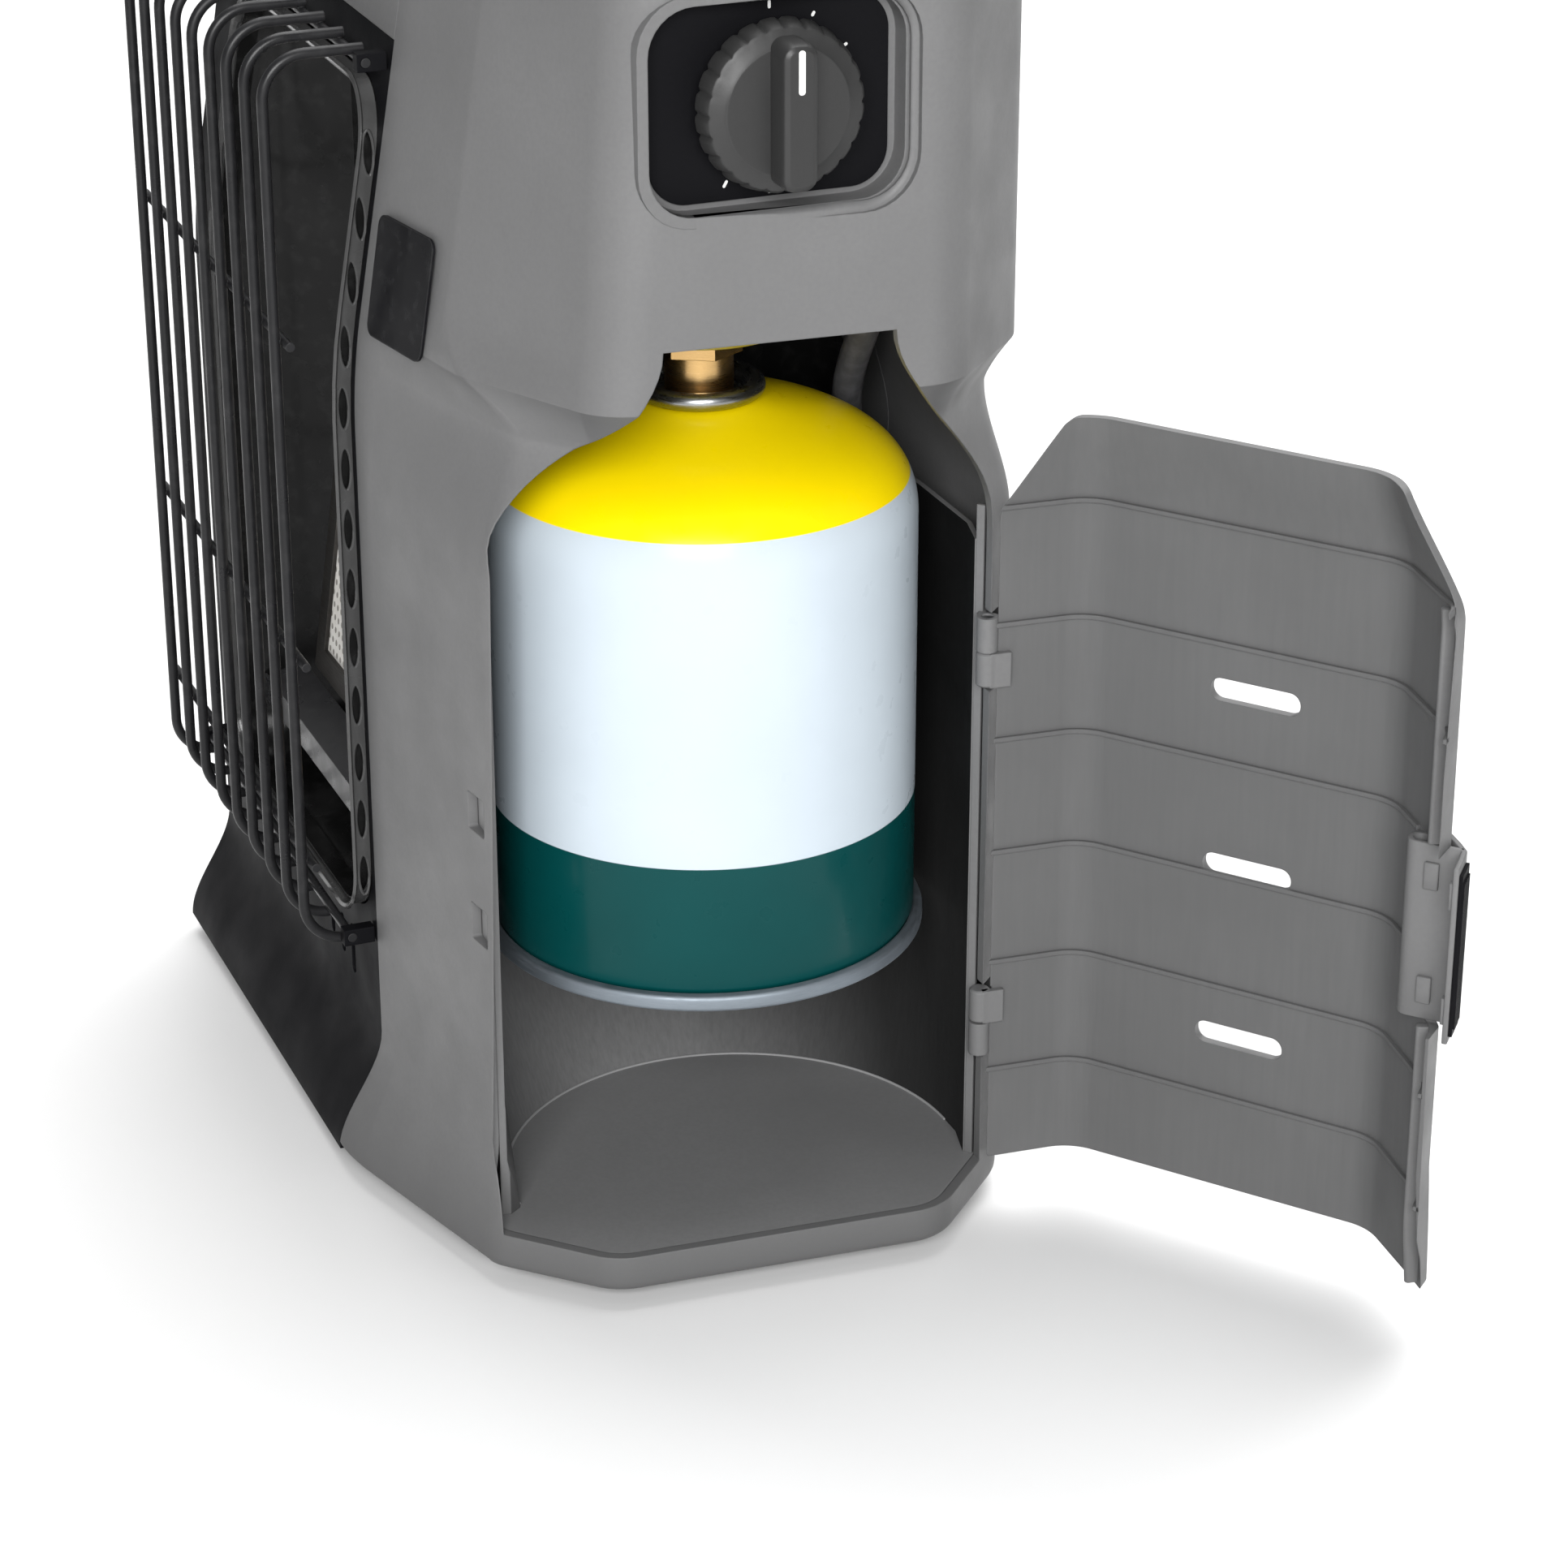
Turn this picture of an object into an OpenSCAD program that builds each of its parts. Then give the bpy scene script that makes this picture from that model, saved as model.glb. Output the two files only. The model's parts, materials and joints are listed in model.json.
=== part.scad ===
// Portable gas heater with a side door for a screw-on gas cartridge.
// The modules are drawn about the cartridge axis: X to the door side, -Y to the burner front,
// Z up from the floor. The last lines move the whole object to its own origin.

/* [Casing] */
// Height of the underside of the casing above the floor
foot_h = 5; // [4:0.5:10]
// Height of the top of the head above the floor
head_top = 352; // [348:1:370]
// Distance of the outer face of the door side from the cartridge axis
near_x = 61; // [60:0.5:66]
// Distance of the closed end from the cartridge axis
far_x = 200; // [196:1:215]
// Distance of the burner front from the cartridge axis
front_d = 76; // [74:0.5:80]
// Distance of the back wall from the cartridge axis
rear_d = 70.5; // [69.5:0.5:80]
// Thickness of the moulded casing
wall = 2.6; // [2.2:0.1:3]
// Forward flare of the toe under the burner
toe_flare = 13; // [8:0.5:16]
// Height over which the toe flare fades out
toe_h = 33; // [26:1:40]
// Slope of the leaning front of the head
lean_slope = 0.17; // [0.1:0.01:0.2]
// Height where the front starts to lean back
lean_z = 205; // [200:1:215]
// Depth of the waist under the head
waist_d = 6.5; // [3:0.5:8]
// Height of the waist
waist_z = 224; // [218:1:228]
// Rounding of the top edges of the head
top_r = 14; // [8:1:18]
// Height of the joint between the casing and the top cover
cap_z = 337; // [334:0.5:338]
// Half length of the flat door side, front to back
near_half = 43; // [41:0.5:45]
// Middle of the door side, from the cartridge axis
mid_y = -3; // [-4:0.5:-2]
// How far the rear end of the door side stands out past its front end
near_skew = 6; // [3:0.5:7]
// Where the front cheek meets the corner bevel, from the cartridge axis
cheek_x = 34; // [31:1:37]
// Set-back of the cheek corner from the burner front
cheek_in = 9; // [7:1:11]
// Place of the joint between the two casing halves, from the cartridge axis
split_x = 40; // [38:0.5:44]
// Running gap between neighbouring mouldings
seam = 0.3; // [0.2:0.05:0.5]

/* [Door] */
// Height of the lower edge of the door above the floor
door_z = 16; // [14:1:20]
// Height of the top edge of the door
door_top = 219; // [212:1:220]
// Height where the slanted shoulders of the door start
door_shoulder = 195; // [188:1:198]
// Half length of the top edge of the door
door_top_half = 44; // [38:1:46]
// Front edge of the door opening, from the cartridge axis
mouth_front = 66; // [65:0.5:67]
// Forward slant of the front edge of the opening towards the floor
mouth_slant = 2; // [0:0.25:2.5]
// Rear edge of the door opening, from the cartridge axis
mouth_rear = 58.5; // [58:0.25:60]
// Half width of the neck of the opening under the head
neck_half = 28; // [24:1:32]
// Height of the top of the neck
neck_z = 250.5; // [248:0.5:253]
// Thickness of the door
door_t = 2.4; // [2:0.1:2.8]
// Gap around the door
door_gap = 0.8; // [0.6:0.1:1.2]
// Angle that the door is open at rest
door_open = 131; // [90:1:132]
// Diameter of the hinge pins
pin_d = 3; // [2.5:0.25:3.5]
// Diameter of the hinge barrels
barrel_d = 5.4; // [5:0.2:6]
// Radial running clearance of the hinge pins
pin_clear = 0.06; // [0.03:0.01:0.1]
// Height of the middle of the lower hinge
hinge_low = 56; // [50:1:64]
// Height of the middle of the upper hinge
hinge_high = 158; // [150:1:164]
// Length of one hinge barrel
barrel_h = 9; // [7:0.5:11]
// Length of the vent slots in the door
vent_w = 24; // [20:1:30]
// How far the vent slots sit towards the free edge of the door
vent_shift = 4; // [0:0.5:6]
// Height of the vent slots in the door
vent_h = 6; // [5:0.5:8]
// Height of the lowest vent slot
vent_z = 59; // [56:1:66]
// Distance between the vent slots
vent_pitch = 47; // [40:0.5:49]
// Height of the ribs inside the door
rib_t = 0.9; // [0.6:0.1:1.1]
// Height of the latch on the free edge of the door
latch_h = 46; // [42:1:52]
// Height of the middle of the latch
latch_z = 112; // [106:1:116]
// Travel of the latch when it is pressed in
latch_travel = 1.5; // [1:0.25:2]
// Distance between the two catch tabs
tab_pitch = 30; // [28:1:32]

/* [Cartridge] */
// Diameter of the cartridge body
cart_d = 108; // [104:1:108]
// How far the seamed bottom rim stands out past the cartridge body
rim_stand = 2.3; // [1:0.1:2.5]
// Thickness of the cartridge wall; it gives the weight of a full cartridge
cart_wall = 1.2; // [0.8:0.1:2]
// Height of the cartridge bottom above the floor
cart_z = 77; // [75:1:79]
// Height of the straight side of the cartridge
cart_side_h = 119; // [112:1:122]
// Height from the bottom to the top of the valve ring
cart_h = 145.6; // [144:0.2:148]
// Diameter of the valve ring at the middle of its bead
ring_d = 28; // [27:0.5:29]
// Thickness of the bead of the valve ring
bead_d = 4.5; // [4:0.25:5]
// Diameter of the threaded valve neck
neck_d = 11; // [10:0.1:11.1]

/* [Compartment] */
// Inner radius of the cartridge compartment
bay_r = 59.4; // [58:0.2:59.8]
// Thickness of the compartment wall
bay_t = 1.5; // [1.2:0.1:1.6]
// Shift of the compartment floor towards the door
bay_shift = 26; // [14:1:27]
// Height where the compartment wall becomes upright
bay_upright_z = 70; // [62:1:72]
// Height of the top edge of the grey compartment wall
bay_top = 186; // [180:1:190]
// Thickness of the compartment floor
floor_t = 3; // [2:0.5:4]

/* [Burner] */
// Distance of the near rim of the dish from the cartridge axis
dish_near = 44; // [43:0.5:47]
// Width of the dish
dish_w = 118; // [110:1:122]
// Height of the lower rim of the dish
dish_z = 68; // [66:1:74]
// Height of the dish
dish_h = 222; // [210:1:226]
// Depth of the dish
dish_d = 34; // [28:1:36]
// Thickness of the pressed steel
sheet_t = 1; // [0.8:0.1:1.2]
// Depth of the perforated rim of the dish
rim_d = 8; // [7:0.5:9]
// Forward stand of the dish rim from the front panel
rim_out = 4; // [3:0.5:5]
// Distance between the long holes in the rim
rim_pitch = 16; // [14:0.5:18]
// Length of the long holes in the rim
rim_hole = 11; // [9:0.5:12]
// Width of the ceramic burner tile
tile_w = 74; // [68:1:75]
// Height of the ceramic burner tile
tile_h = 132; // [120:1:136]
// Thickness of the ceramic burner tile
tile_t = 13; // [11:0.5:14]
// Backward tilt of the burner
tile_tilt = 8; // [6:0.5:10]
// Height of the lower edge of the burner tile
tile_z = 102; // [101:1:106]

/* [Guard] */
// Diameter of the guard wires
wire_d = 2.8; // [2.6:0.1:3.6]
// Number of upright guard wires
wire_n = 9; // [7:1:10]
// Distance between the upright guard wires
wire_pitch = 16.5; // [14:0.5:18]
// Distance of the guard in front of the front panel
guard_out = 17; // [14:0.5:20]
// How far the guard reaches below the dish
guard_low = 5; // [3:0.5:7]
// How far the guard reaches above the dish
guard_high = 9; // [7:0.5:11]
// Radius of the bends in the guard wires
guard_r = 11; // [8:0.5:12]

/* [Controls and handle] */
// Width of the recess for the control knob
recess_w = 62; // [56:1:63]
// Height of the recess for the control knob
recess_h = 48; // [46:1:50]
// Height of the lower edge of the recess
recess_z = 281.5; // [280:0.5:284]
// Depth of the recess
recess_d = 8; // [6:0.5:9]
// Diameter of the control knob
knob_d = 40; // [34:1:42]
// Length of the control knob
knob_h = 15; // [12:0.5:18]
// Diameter of the control shaft
shaft_d = 8; // [6:0.5:9]
// Travel of the control knob when it is pushed
push_travel = 4; // [3:0.5:4.5]
// Distance between the two handle sockets
handle_w = 130; // [110:1:140]
// Reach of the handle from its pivot
handle_reach = 56; // [50:1:58]
// Diameter of the handle wire
handle_wire = 6; // [5:0.5:7]
// Diameter of the handle grip
grip_d = 19; // [17:0.5:22]
// Length of the handle grip
grip_w = 92; // [70:1:94]
// Middle of the handle, from the cartridge axis
handle_x = 75; // [70:1:85]

/* [Hidden] */

grey = [0.55, 0.55, 0.55];
black = [0.13, 0.13, 0.14];
steel = [0.75, 0.75, 0.76];
brass_c = [0.80, 0.62, 0.32];
fine = 64;

// Rounding of the corners of the casing in plan: far front, cheek bend, cheek, bevels, rear, far rear
corner_r = [14, 60, 14, 16, 16, 22, 26];
bend_x = 33;
bottom_r = 3;
lean_blend = 30;
waist_start = waist_z - 34;
waist_end = waist_z + 12;
cart_rim_d = cart_d + 2 * rim_stand;
guard_z = dish_z - guard_low;
guard_h = dish_h + guard_low + guard_high;

// Smooth step from 0 to 1
function smooth(t) = let (u = max(0, min(1, t))) u * u * (3 - 2 * u);
// Values between a and b, without a itself
function between(a, b, n) = [for (i = [1:n]) a + (b - a) * i / n];
function unit(v) = v / norm(v);
function left_of(v) = [-v[1], v[0]];

// Forward flare of the toe, backward lean of the head and depth of the waist at a height
function flare(z) = toe_flare * (1 - smooth((z - foot_h) / toe_h));
function lean(z) = z < lean_z ? 0
    : z < lean_z + lean_blend ? lean_slope * pow(z - lean_z, 2) / (2 * lean_blend)
    : lean_slope * (z - lean_z - lean_blend / 2);
function waist(z) = waist_d * (z < waist_z ? smooth((z - waist_start) / (waist_z - waist_start))
    : 1 - pow(min(1, (z - waist_z) / (waist_end - waist_z)), 1.4));
function front_y(z) = -front_d - flare(z) + lean(z);
// Set-back of the cheek corner on the head
function head_in(z) = 4 * smooth((z - waist_z) / 30);

// Inset of the whole outline near the rounded top and bottom edges
function edge_in(z) = z > head_top - top_r
    ? top_r - sqrt(max(0, top_r * top_r - pow(z - head_top + top_r, 2)))
    : z < foot_h + bottom_r
    ? bottom_r - sqrt(max(0, bottom_r * bottom_r - pow(foot_h + bottom_r - z, 2)))
    : 0;

// How far the cheek corner moves towards the badge on the head, and over what height
head_slide = 31;
head_rise = 22;
function slide(z) = head_slide * smooth((z - waist_z) / head_rise);
function cheek_y(z) = -front_d + cheek_in + lean(z) * 0.8 + head_in(z) - flare(z) * 0.25;

// Corners of the casing in plan at a height, going round against the clock from the far front
function plan_corners(z) = [
    [-far_x, front_y(z)],
    [-bend_x, front_y(z)],
    [cheek_x - slide(z), cheek_y(z) - (cheek_y(z) - front_y(z)) * slide(z) / (cheek_x + bend_x)],
    [near_x - near_skew / 2, mid_y - near_half + lean(z) * 0.4],
    [near_x + near_skew / 2, mid_y + near_half],
    [cheek_x, rear_d],
    [-far_x, rear_d]
];
// How much each corner of the plan moves in at the waist
waist_move = [[0, 0], [0, 0], [-0.7, 1.3], [-1.1, 0.8], [-1, -0.4], [-0.4, -1], [0, -1]];

// A corner moved in by a distance from both of its edges
function moved_corner(p, n0, n1, d) = p + (n0 + n1) * d / (1 + n0 * n1);

// Rounded outline of the casing at a height, moved in by a distance
function outline(z, inset, arc_n) = let (
    w = waist(z),
    p = [for (k = [0:6]) plan_corners(z)[k] + w * waist_move[k]],
    m = len(p),
    dir = [for (i = [0:m - 1]) unit(p[(i + 1) % m] - p[i])],
    gap = inset + edge_in(z),
    q = [for (i = [0:m - 1]) moved_corner(p[i], left_of(dir[(i + m - 1) % m]), left_of(dir[i]), gap)]
) [for (i = [0:m - 1]) let (
        d0 = dir[(i + m - 1) % m],
        d1 = dir[i],
        turn = acos(max(-1, min(1, d0 * d1))),
        r = max(1.5, corner_r[i] - inset - edge_in(z) * 0.4),
        centre = q[i] - d0 * r * tan(turn / 2) + left_of(d0) * r,
        a0 = atan2(-left_of(d0)[1], -left_of(d0)[0])
    ) each [for (k = [0:arc_n - 1]) let (a = a0 + turn * k / (arc_n - 1))
        centre + r * [cos(a), sin(a)]]];

// Solid through rings of points, all rings alike in count and going against the clock from above
module ring_loft(rings) {
    n = len(rings[0]);
    m = len(rings);
    side = [for (j = [0:m - 2], i = [0:n - 1]) let (k = (i + 1) % n)
        each [[j * n + i, (j + 1) * n + i, (j + 1) * n + k], [j * n + i, (j + 1) * n + k, j * n + k]]];
    bottom = [for (i = [0:n - 1]) i];
    top = [for (i = [n - 1:-1:0]) (m - 1) * n + i];
    polyhedron([for (ring = rings) each ring], concat([bottom], side, [top]), convexity = 8);
}

function at_height(ring, z) = [for (p = ring) [p[0], p[1], z]];

skin_levels = concat([foot_h], between(foot_h, foot_h + bottom_r, 2),
    between(foot_h + bottom_r, foot_h + toe_h, 6), between(foot_h + toe_h, waist_start, 1),
    between(waist_start, waist_z, 6), between(waist_z, waist_end, 5),
    between(waist_end, lean_z + lean_blend + 20, 2), between(lean_z + lean_blend + 20, head_top - top_r, 2),
    between(head_top - top_r, head_top, 5));
inner_levels = concat([foot_h - 1], between(foot_h, foot_h + toe_h, 5),
    between(foot_h + toe_h, waist_start, 1), between(waist_start, waist_z, 5),
    between(waist_z, waist_end, 4), between(waist_end, lean_z + lean_blend + 20, 1),
    between(lean_z + lean_blend + 20, head_top - top_r, 1),
    between(head_top - top_r, head_top - wall, 3));

module casing_skin(inset = 0) {
    ring_loft([for (z = skin_levels) at_height(outline(z, inset, 5), z)]);
}

// Space inside the casing; near the top it follows the rounded edge
module casing_space(inset = wall) {
    ring_loft([for (z = inner_levels) let (zz = z > head_top - top_r ? z + wall * (z - head_top + top_r)
        / (top_r - wall) : max(z, foot_h + bottom_r)) at_height(outline(zz, inset, 5), z)]);
}

// A slab of the given plan and height
module slab(x0, x1, y0, y1, z0, z1) {
    translate([x0, y0, z0]) cube([x1 - x0, y1 - y0, z1 - z0]);
}

// A rectangle with round corners in the XY plane, drawn from exact arcs
module round_rect(w, h, r) {
    square([w - 2 * r, h], center = true);
    square([w, h - 2 * r], center = true);
    for (sx = [-1, 1], sy = [-1, 1]) translate([sx * (w / 2 - r), sy * (h / 2 - r)]) circle(r, $fn = 32);
}

// A prism along X over an outline in Y and Z
module along_x(x0, x1) {
    translate([x0, 0, 0]) rotate([90, 0, 90]) linear_extrude(x1 - x0) children();
}

// A prism along -Y, from y0 back to y1, over an outline in X and Z
module along_y(y0, y1) {
    translate([0, y1, 0]) rotate([90, 0, 0]) linear_extrude(y1 - y0) children();
}

// Outline of the door opening in Y and Z, with the bottle-shaped shoulders
mouth_curve = 5;
function shoulder_pts(y_low, y_high) = [for (i = [0:mouth_curve]) let (t = i / mouth_curve,
    y = y_low + (y_high - y_low) * smooth(t), z = door_shoulder + (neck_z - door_shoulder) * t) [y, z]];
function reversed(v) = [for (i = [len(v) - 1:-1:0]) v[i]];
module mouth_outline() {
    polygon(concat([[-mouth_front - mouth_slant, door_z - door_gap], [mouth_rear, door_z - door_gap]],
        shoulder_pts(mouth_rear, mid_y + neck_half), reversed(shoulder_pts(-mouth_front, mid_y - neck_half))));
}

// Plan of the cartridge compartment: a half round back and straight sides to the mouth
function bay_shift_at(z) = bay_shift * max(0, 1 - (z - foot_h) / (bay_upright_z - foot_h));
function bay_plan(z, r, out) = let (s = bay_shift_at(z)) concat(
    [for (i = [0:24]) let (a = 90 + 180 * i / 24) [s + r * cos(a), r * sin(a)]],
    [[max(s + 1, flange_x - 17), -r], [flange_x + out, bay_r - r - mouth_front + seam + bay_t + 0.4],
        [bay_rear_x + out, r - bay_turn], [max(s + 1, bay_rear_x - 11), r]]);
flange_x = cheek_x - 8.4;
bay_rear_x = cheek_x + 5.6;
bay_turn = 3;

// Casing
module near_shell() {
    color(grey) difference() {
        casing_skin();
        casing_space();
        slab(-far_x - 60, -split_x, -front_d - 40, rear_d + 40, 0, head_top + 20);
        slab(-far_x - 60, near_x + 60, -front_d - 40, rear_d + 40, cap_z, head_top + 20);
        along_x(cheek_x - 8, near_x + 20) mouth_outline();
        along_x(near_x - recess_d, near_x + 20) at_recess() round_rect(recess_w, recess_h, 11);
        for (s = [-1, 1]) latch_slot(s);
        for (z = [hinge_low, hinge_high]) slab(cheek_x + 2, near_x, door_hinge[1] - 4,
            door_hinge[1] + 4.6, z - barrel_h - 1.5, z + barrel_h + 1.5);
    }
    color(grey) intersection() {
        casing_skin();
        difference() {
            along_x(near_x - recess_d - wall, near_x - wall / 2)
                at_recess() round_rect(recess_w + 2 * wall, recess_h + 2 * wall, 13);
            along_x(near_x - recess_d, near_x + 1) at_recess() round_rect(recess_w, recess_h, 11);
            along_x(near_x - recess_d - wall - 1, near_x)
                at_recess() circle(d = shaft_d + 4, $fn = fine);
        }
    }
}
module at_recess() {
    translate([mid_y, recess_z + recess_h / 2]) children();
}

// Slots in the cheek for the two catch tabs of the door
latch_slot_x = cheek_x - 9.6;
latch_slot_w = 8.8;
module latch_slot(s) {
    slab(latch_slot_x - latch_slot_w / 2, latch_slot_x + latch_slot_w / 2, -front_d - 20, -front_d + 24,
        latch_z + s * tab_pitch / 2 - 5, latch_z + s * tab_pitch / 2 + 5);
}

panel_far = far_x - 6;
panel_top = dish_z + dish_h + 12;
module far_shell() {
    color(grey) difference() {
        casing_skin();
        casing_space();
        slab(-split_x - seam, near_x + 60, -front_d - 40, rear_d + 40, 0, head_top + 20);
        slab(-far_x - 60, near_x + 60, -front_d - 40, rear_d + 40, cap_z, head_top + 20);
        slab(-panel_far - seam, near_x + 60, -front_d - 40, -front_d + 40, 0, panel_top + seam);
        along_y(rear_d - 20, rear_d + 20)
            translate([-rear_x, rear_z]) round_rect(rear_w, rear_h, 8);
        for (i = [0:3]) along_y(rear_d - 20, rear_d + 20)
            translate([-rear_x, 262 + 9 * i]) round_rect(80, 3.6, 1.7);
    }
}

module top_cover() {
    color(grey) difference() {
        casing_skin();
        casing_space();
        slab(-far_x - 60, near_x + 60, -front_d - 40, rear_d + 40, 0, cap_z + seam);
    }
}

// Black front panel: one profile drawn along X, with the dish opening and the tapering vent slots
panel_levels = concat([foot_h], between(foot_h, foot_h + toe_h, 10), between(foot_h + toe_h, lean_z, 1),
    between(lean_z, lean_z + lean_blend, 4), [panel_top]);
panel_t = 2.4;
slot_w = 3.4;
// Tapering vent slots: distance past the joint, and their upper and lower ends below the dish
vent_slots = [[25, 10, 24.5], [34.5, 11, 22.5], [44, 13.5, 21]];
module front_panel() {
    color(black) difference() {
        along_x(-panel_far, -split_x - seam)
            polygon(concat([for (z = panel_levels) [front_y(z) + seam, z]],
                [for (z = reversed(panel_levels)) [front_y(z) + seam + panel_t, z]]));
        along_y(-front_d - 30, -front_d + 40)
            translate([-dish_near - dish_w / 2, dish_z + dish_h / 2])
            round_rect(dish_w + 2 * seam, dish_h + 2 * seam, 16 + seam);
        for (s = vent_slots)
            slab(-split_x - s[0] - slot_w / 2, -split_x - s[0] + slot_w / 2, -front_d - 20, -front_d + 20,
                dish_z - s[2], dish_z - s[1]);
    }
}

base_in = wall + 2 * seam;
module base_plate() {
    color(black) difference() {
        translate([0, 0, foot_h]) linear_extrude(2.4) polygon(outline(foot_h + bottom_r, base_in, 5));
        slab(-panel_far - 1, -split_x, -front_d - 40, front_y(foot_h) + panel_t + 2 * seam + 2,
            foot_h - 1, foot_h + 3);
        for (p = foot_places) translate([p[0], p[1], foot_h - 1]) cylinder(d = 3.4, h = 5, $fn = 32);
    }
}

foot_places = [[20, -60], [25, 48], [-far_x + 26, -60], [-far_x + 26, 48]];
module feet() {
    color(grey) for (p = foot_places) translate([p[0], p[1], 0]) difference() {
        cylinder(d1 = 15, d2 = 18, h = foot_h, $fn = fine);
        translate([0, 0, -1]) cylinder(d = 8, h = foot_h - 1, $fn = 32);
        cylinder(d = 3.4, h = foot_h + 1, $fn = 32);
    }
}

module base_screws() {
    color(steel) for (p = foot_places) translate([p[0], p[1], 0]) {
        translate([0, 0, foot_h - 4.2]) cylinder(d = 6.4, h = 2.2, $fn = 32);
        translate([0, 0, foot_h - 2.1]) cylinder(d = 3, h = 6, $fn = 32);
    }
}

// Cartridge compartment
module compartment_wall() {
    color(grey) difference() {
        ring_loft([for (z = [floor_top, bay_upright_z, bay_top])
            at_height(bay_plan(z, bay_r + bay_t, 0), z)]);
        ring_loft([for (z = [floor_top - 1, bay_upright_z, bay_top + 1])
            at_height(bay_plan(z, bay_r, 1), z)]);
    }
}

floor_top = foot_h + 10;
module compartment_floor() {
    color(grey) translate([0, 0, floor_top - floor_t]) linear_extrude(floor_t) intersection() {
        polygon(outline(floor_top, wall + seam, 5));
        translate([-split_x, -100]) square([200, 200]);
    }
}

// Sheet steel wall between the burner bay and the cartridge compartment
bulk_x = bay_r + bay_t + 3;
module bulkhead() {
    color(black) difference() {
        intersection() {
            slab(-bulk_x - sheet_t, -bulk_x, -36, rear_d, foot_h + 3, cap_z - 6);
            casing_space(wall + 2 * seam);
        }
        translate([-bulk_x - 5, tube_run_y, tube_cross_z]) rotate([0, 90, 0])
            cylinder(d = tube_d + 3, h = 10, $fn = 32);
        translate([-bulk_x - 5, mid_y, igniter_z]) rotate([0, 90, 0]) cylinder(d = 6, h = 10, $fn = 32);
    }
}

// Black sheet over the cartridge compartment, with the hole for the regulator
ceiling_z = neck_z + 5;
module compartment_ceiling() {
    color(black) difference() {
        translate([0, 0, ceiling_z]) linear_extrude(sheet_t) polygon([[-bulk_x + 1, -38], [-dish_near + 3, -38],
            [-dish_near + 3, -49], [cheek_x - 9, -49], [cheek_x + 6, -46.4], [cheek_x + 6, 57], [-bulk_x + 1, 57]]);
        translate([0, 0, ceiling_z - 1]) cylinder(r = bell_r + 1, h = 5, $fn = fine);
        translate([tube_drop[0], tube_drop[1], ceiling_z - 1]) cylinder(d = tube_d + 3, h = 5, $fn = 32);
    }
}

// Door, drawn closed; its hinge line lies just inside the casing's rear bevel
rear_corner = [near_x + near_skew / 2, mid_y + near_half];
bevel_dir = unit([cheek_x, rear_d] - rear_corner);
hinge_y = mouth_rear + 0.6;
hinge_in = 1.2;
door_hinge = rear_corner + (hinge_y - rear_corner[1]) / bevel_dir[1] * bevel_dir
    + left_of(bevel_dir) * hinge_in;
module swing(angle) {
    translate([door_hinge[0], door_hinge[1], 0]) rotate([0, 0, angle])
        translate([-door_hinge[0], -door_hinge[1], 0]) children();
}

door_levels = concat([door_z, 40], between(40, waist_start, 1), between(waist_start, door_top, 5));
module door_sheet(out, in) {
    difference() {
        ring_loft([for (z = door_levels) at_height(outline(z, out, 6), z)]);
        ring_loft([for (z = concat([door_z - 1], door_levels, [door_top + 1]))
            at_height(outline(max(door_z, min(door_top, z)), in, 6), z)]);
    }
}

module door_outline() {
    polygon([[-mouth_front - mouth_slant + door_gap, door_z], [door_rear_y, door_z],
        [door_rear_y, door_shoulder], [mid_y + door_top_half, door_top], [mid_y - door_top_half, door_top],
        [-mouth_front + door_gap, door_shoulder]]);
}
door_rear_y = hinge_y - barrel_d / 2 + 0.2;
rib_levels = [for (i = [0:5]) 42 + 30.8 * i];
module door_closed() {
    difference() {
        intersection() {
            union() {
                door_sheet(0, door_t);
                intersection() {
                    door_sheet(door_t - 0.2, door_t + rib_t);
                    for (z = rib_levels) slab(0, near_x + 5, -80, 80, z - 0.6, z + 0.6);
                }
            }
            along_x(cheek_x - 8, near_x + 20) door_outline();
        }
        for (i = [0:2]) along_x(near_x - 10, near_x + 10)
            translate([mid_y - vent_shift, vent_z + vent_pitch * i]) round_rect(vent_w, vent_h, vent_h / 2 - 0.05);
        slab(0, near_x, -front_d, -mouth_front + 4.7, latch_z - latch_h / 2 - 0.6, latch_z + latch_h / 2 + 0.6);
        on_front_bevel() translate([0, door_t + 0.02, -latch_h / 2 - 0.6]) cube([15, 3, latch_h + 1.2]);
        hinge_line() for (s = [-1, 1]) hinge_end(s) translate([0, 0, -barrel_h - 0.6])
            cylinder(d = barrel_d + 0.8, h = barrel_h + 0.6, $fn = 32);
    }
    hinge_line() for (s = [-1, 1]) hinge_end(s) difference() {
        union() {
            cylinder(d = barrel_d, h = barrel_h, $fn = 32);
            translate([0, hinge_in - 0.1, 0]) cube([5.5, barrel_d / 2 - hinge_in + 0.1, barrel_h]);
        }
        translate([0, 0, -1]) cylinder(d = pin_d, h = barrel_h + 2, $fn = 32);
    }
}

// Puts things on the hinge line, with X along the door's rear flange and Y to the inside
module hinge_line() {
    translate([door_hinge[0], door_hinge[1], 0])
        rotate([0, 0, atan2(bevel_dir[1], bevel_dir[0]) + 180]) mirror([0, 1, 0]) children();
}
// One hinge: Z points away from the middle of the door into the door's own barrel
module hinge_end(s) {
    translate([0, 0, s < 0 ? hinge_low : hinge_high]) mirror([0, 0, s > 0 ? 1 : 0]) children();
}

module door() {
    color(grey) swing(door_open) door_closed();
}

// Steel pins: pressed into the door's barrels, running in the sockets of the casing
module door_hinge_pins() {
    color(steel) hinge_line() for (s = [-1, 1]) hinge_end(s)
        translate([0, 0, -barrel_h]) cylinder(d = pin_d, h = 2 * barrel_h - 1, $fn = fine);
}

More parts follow.
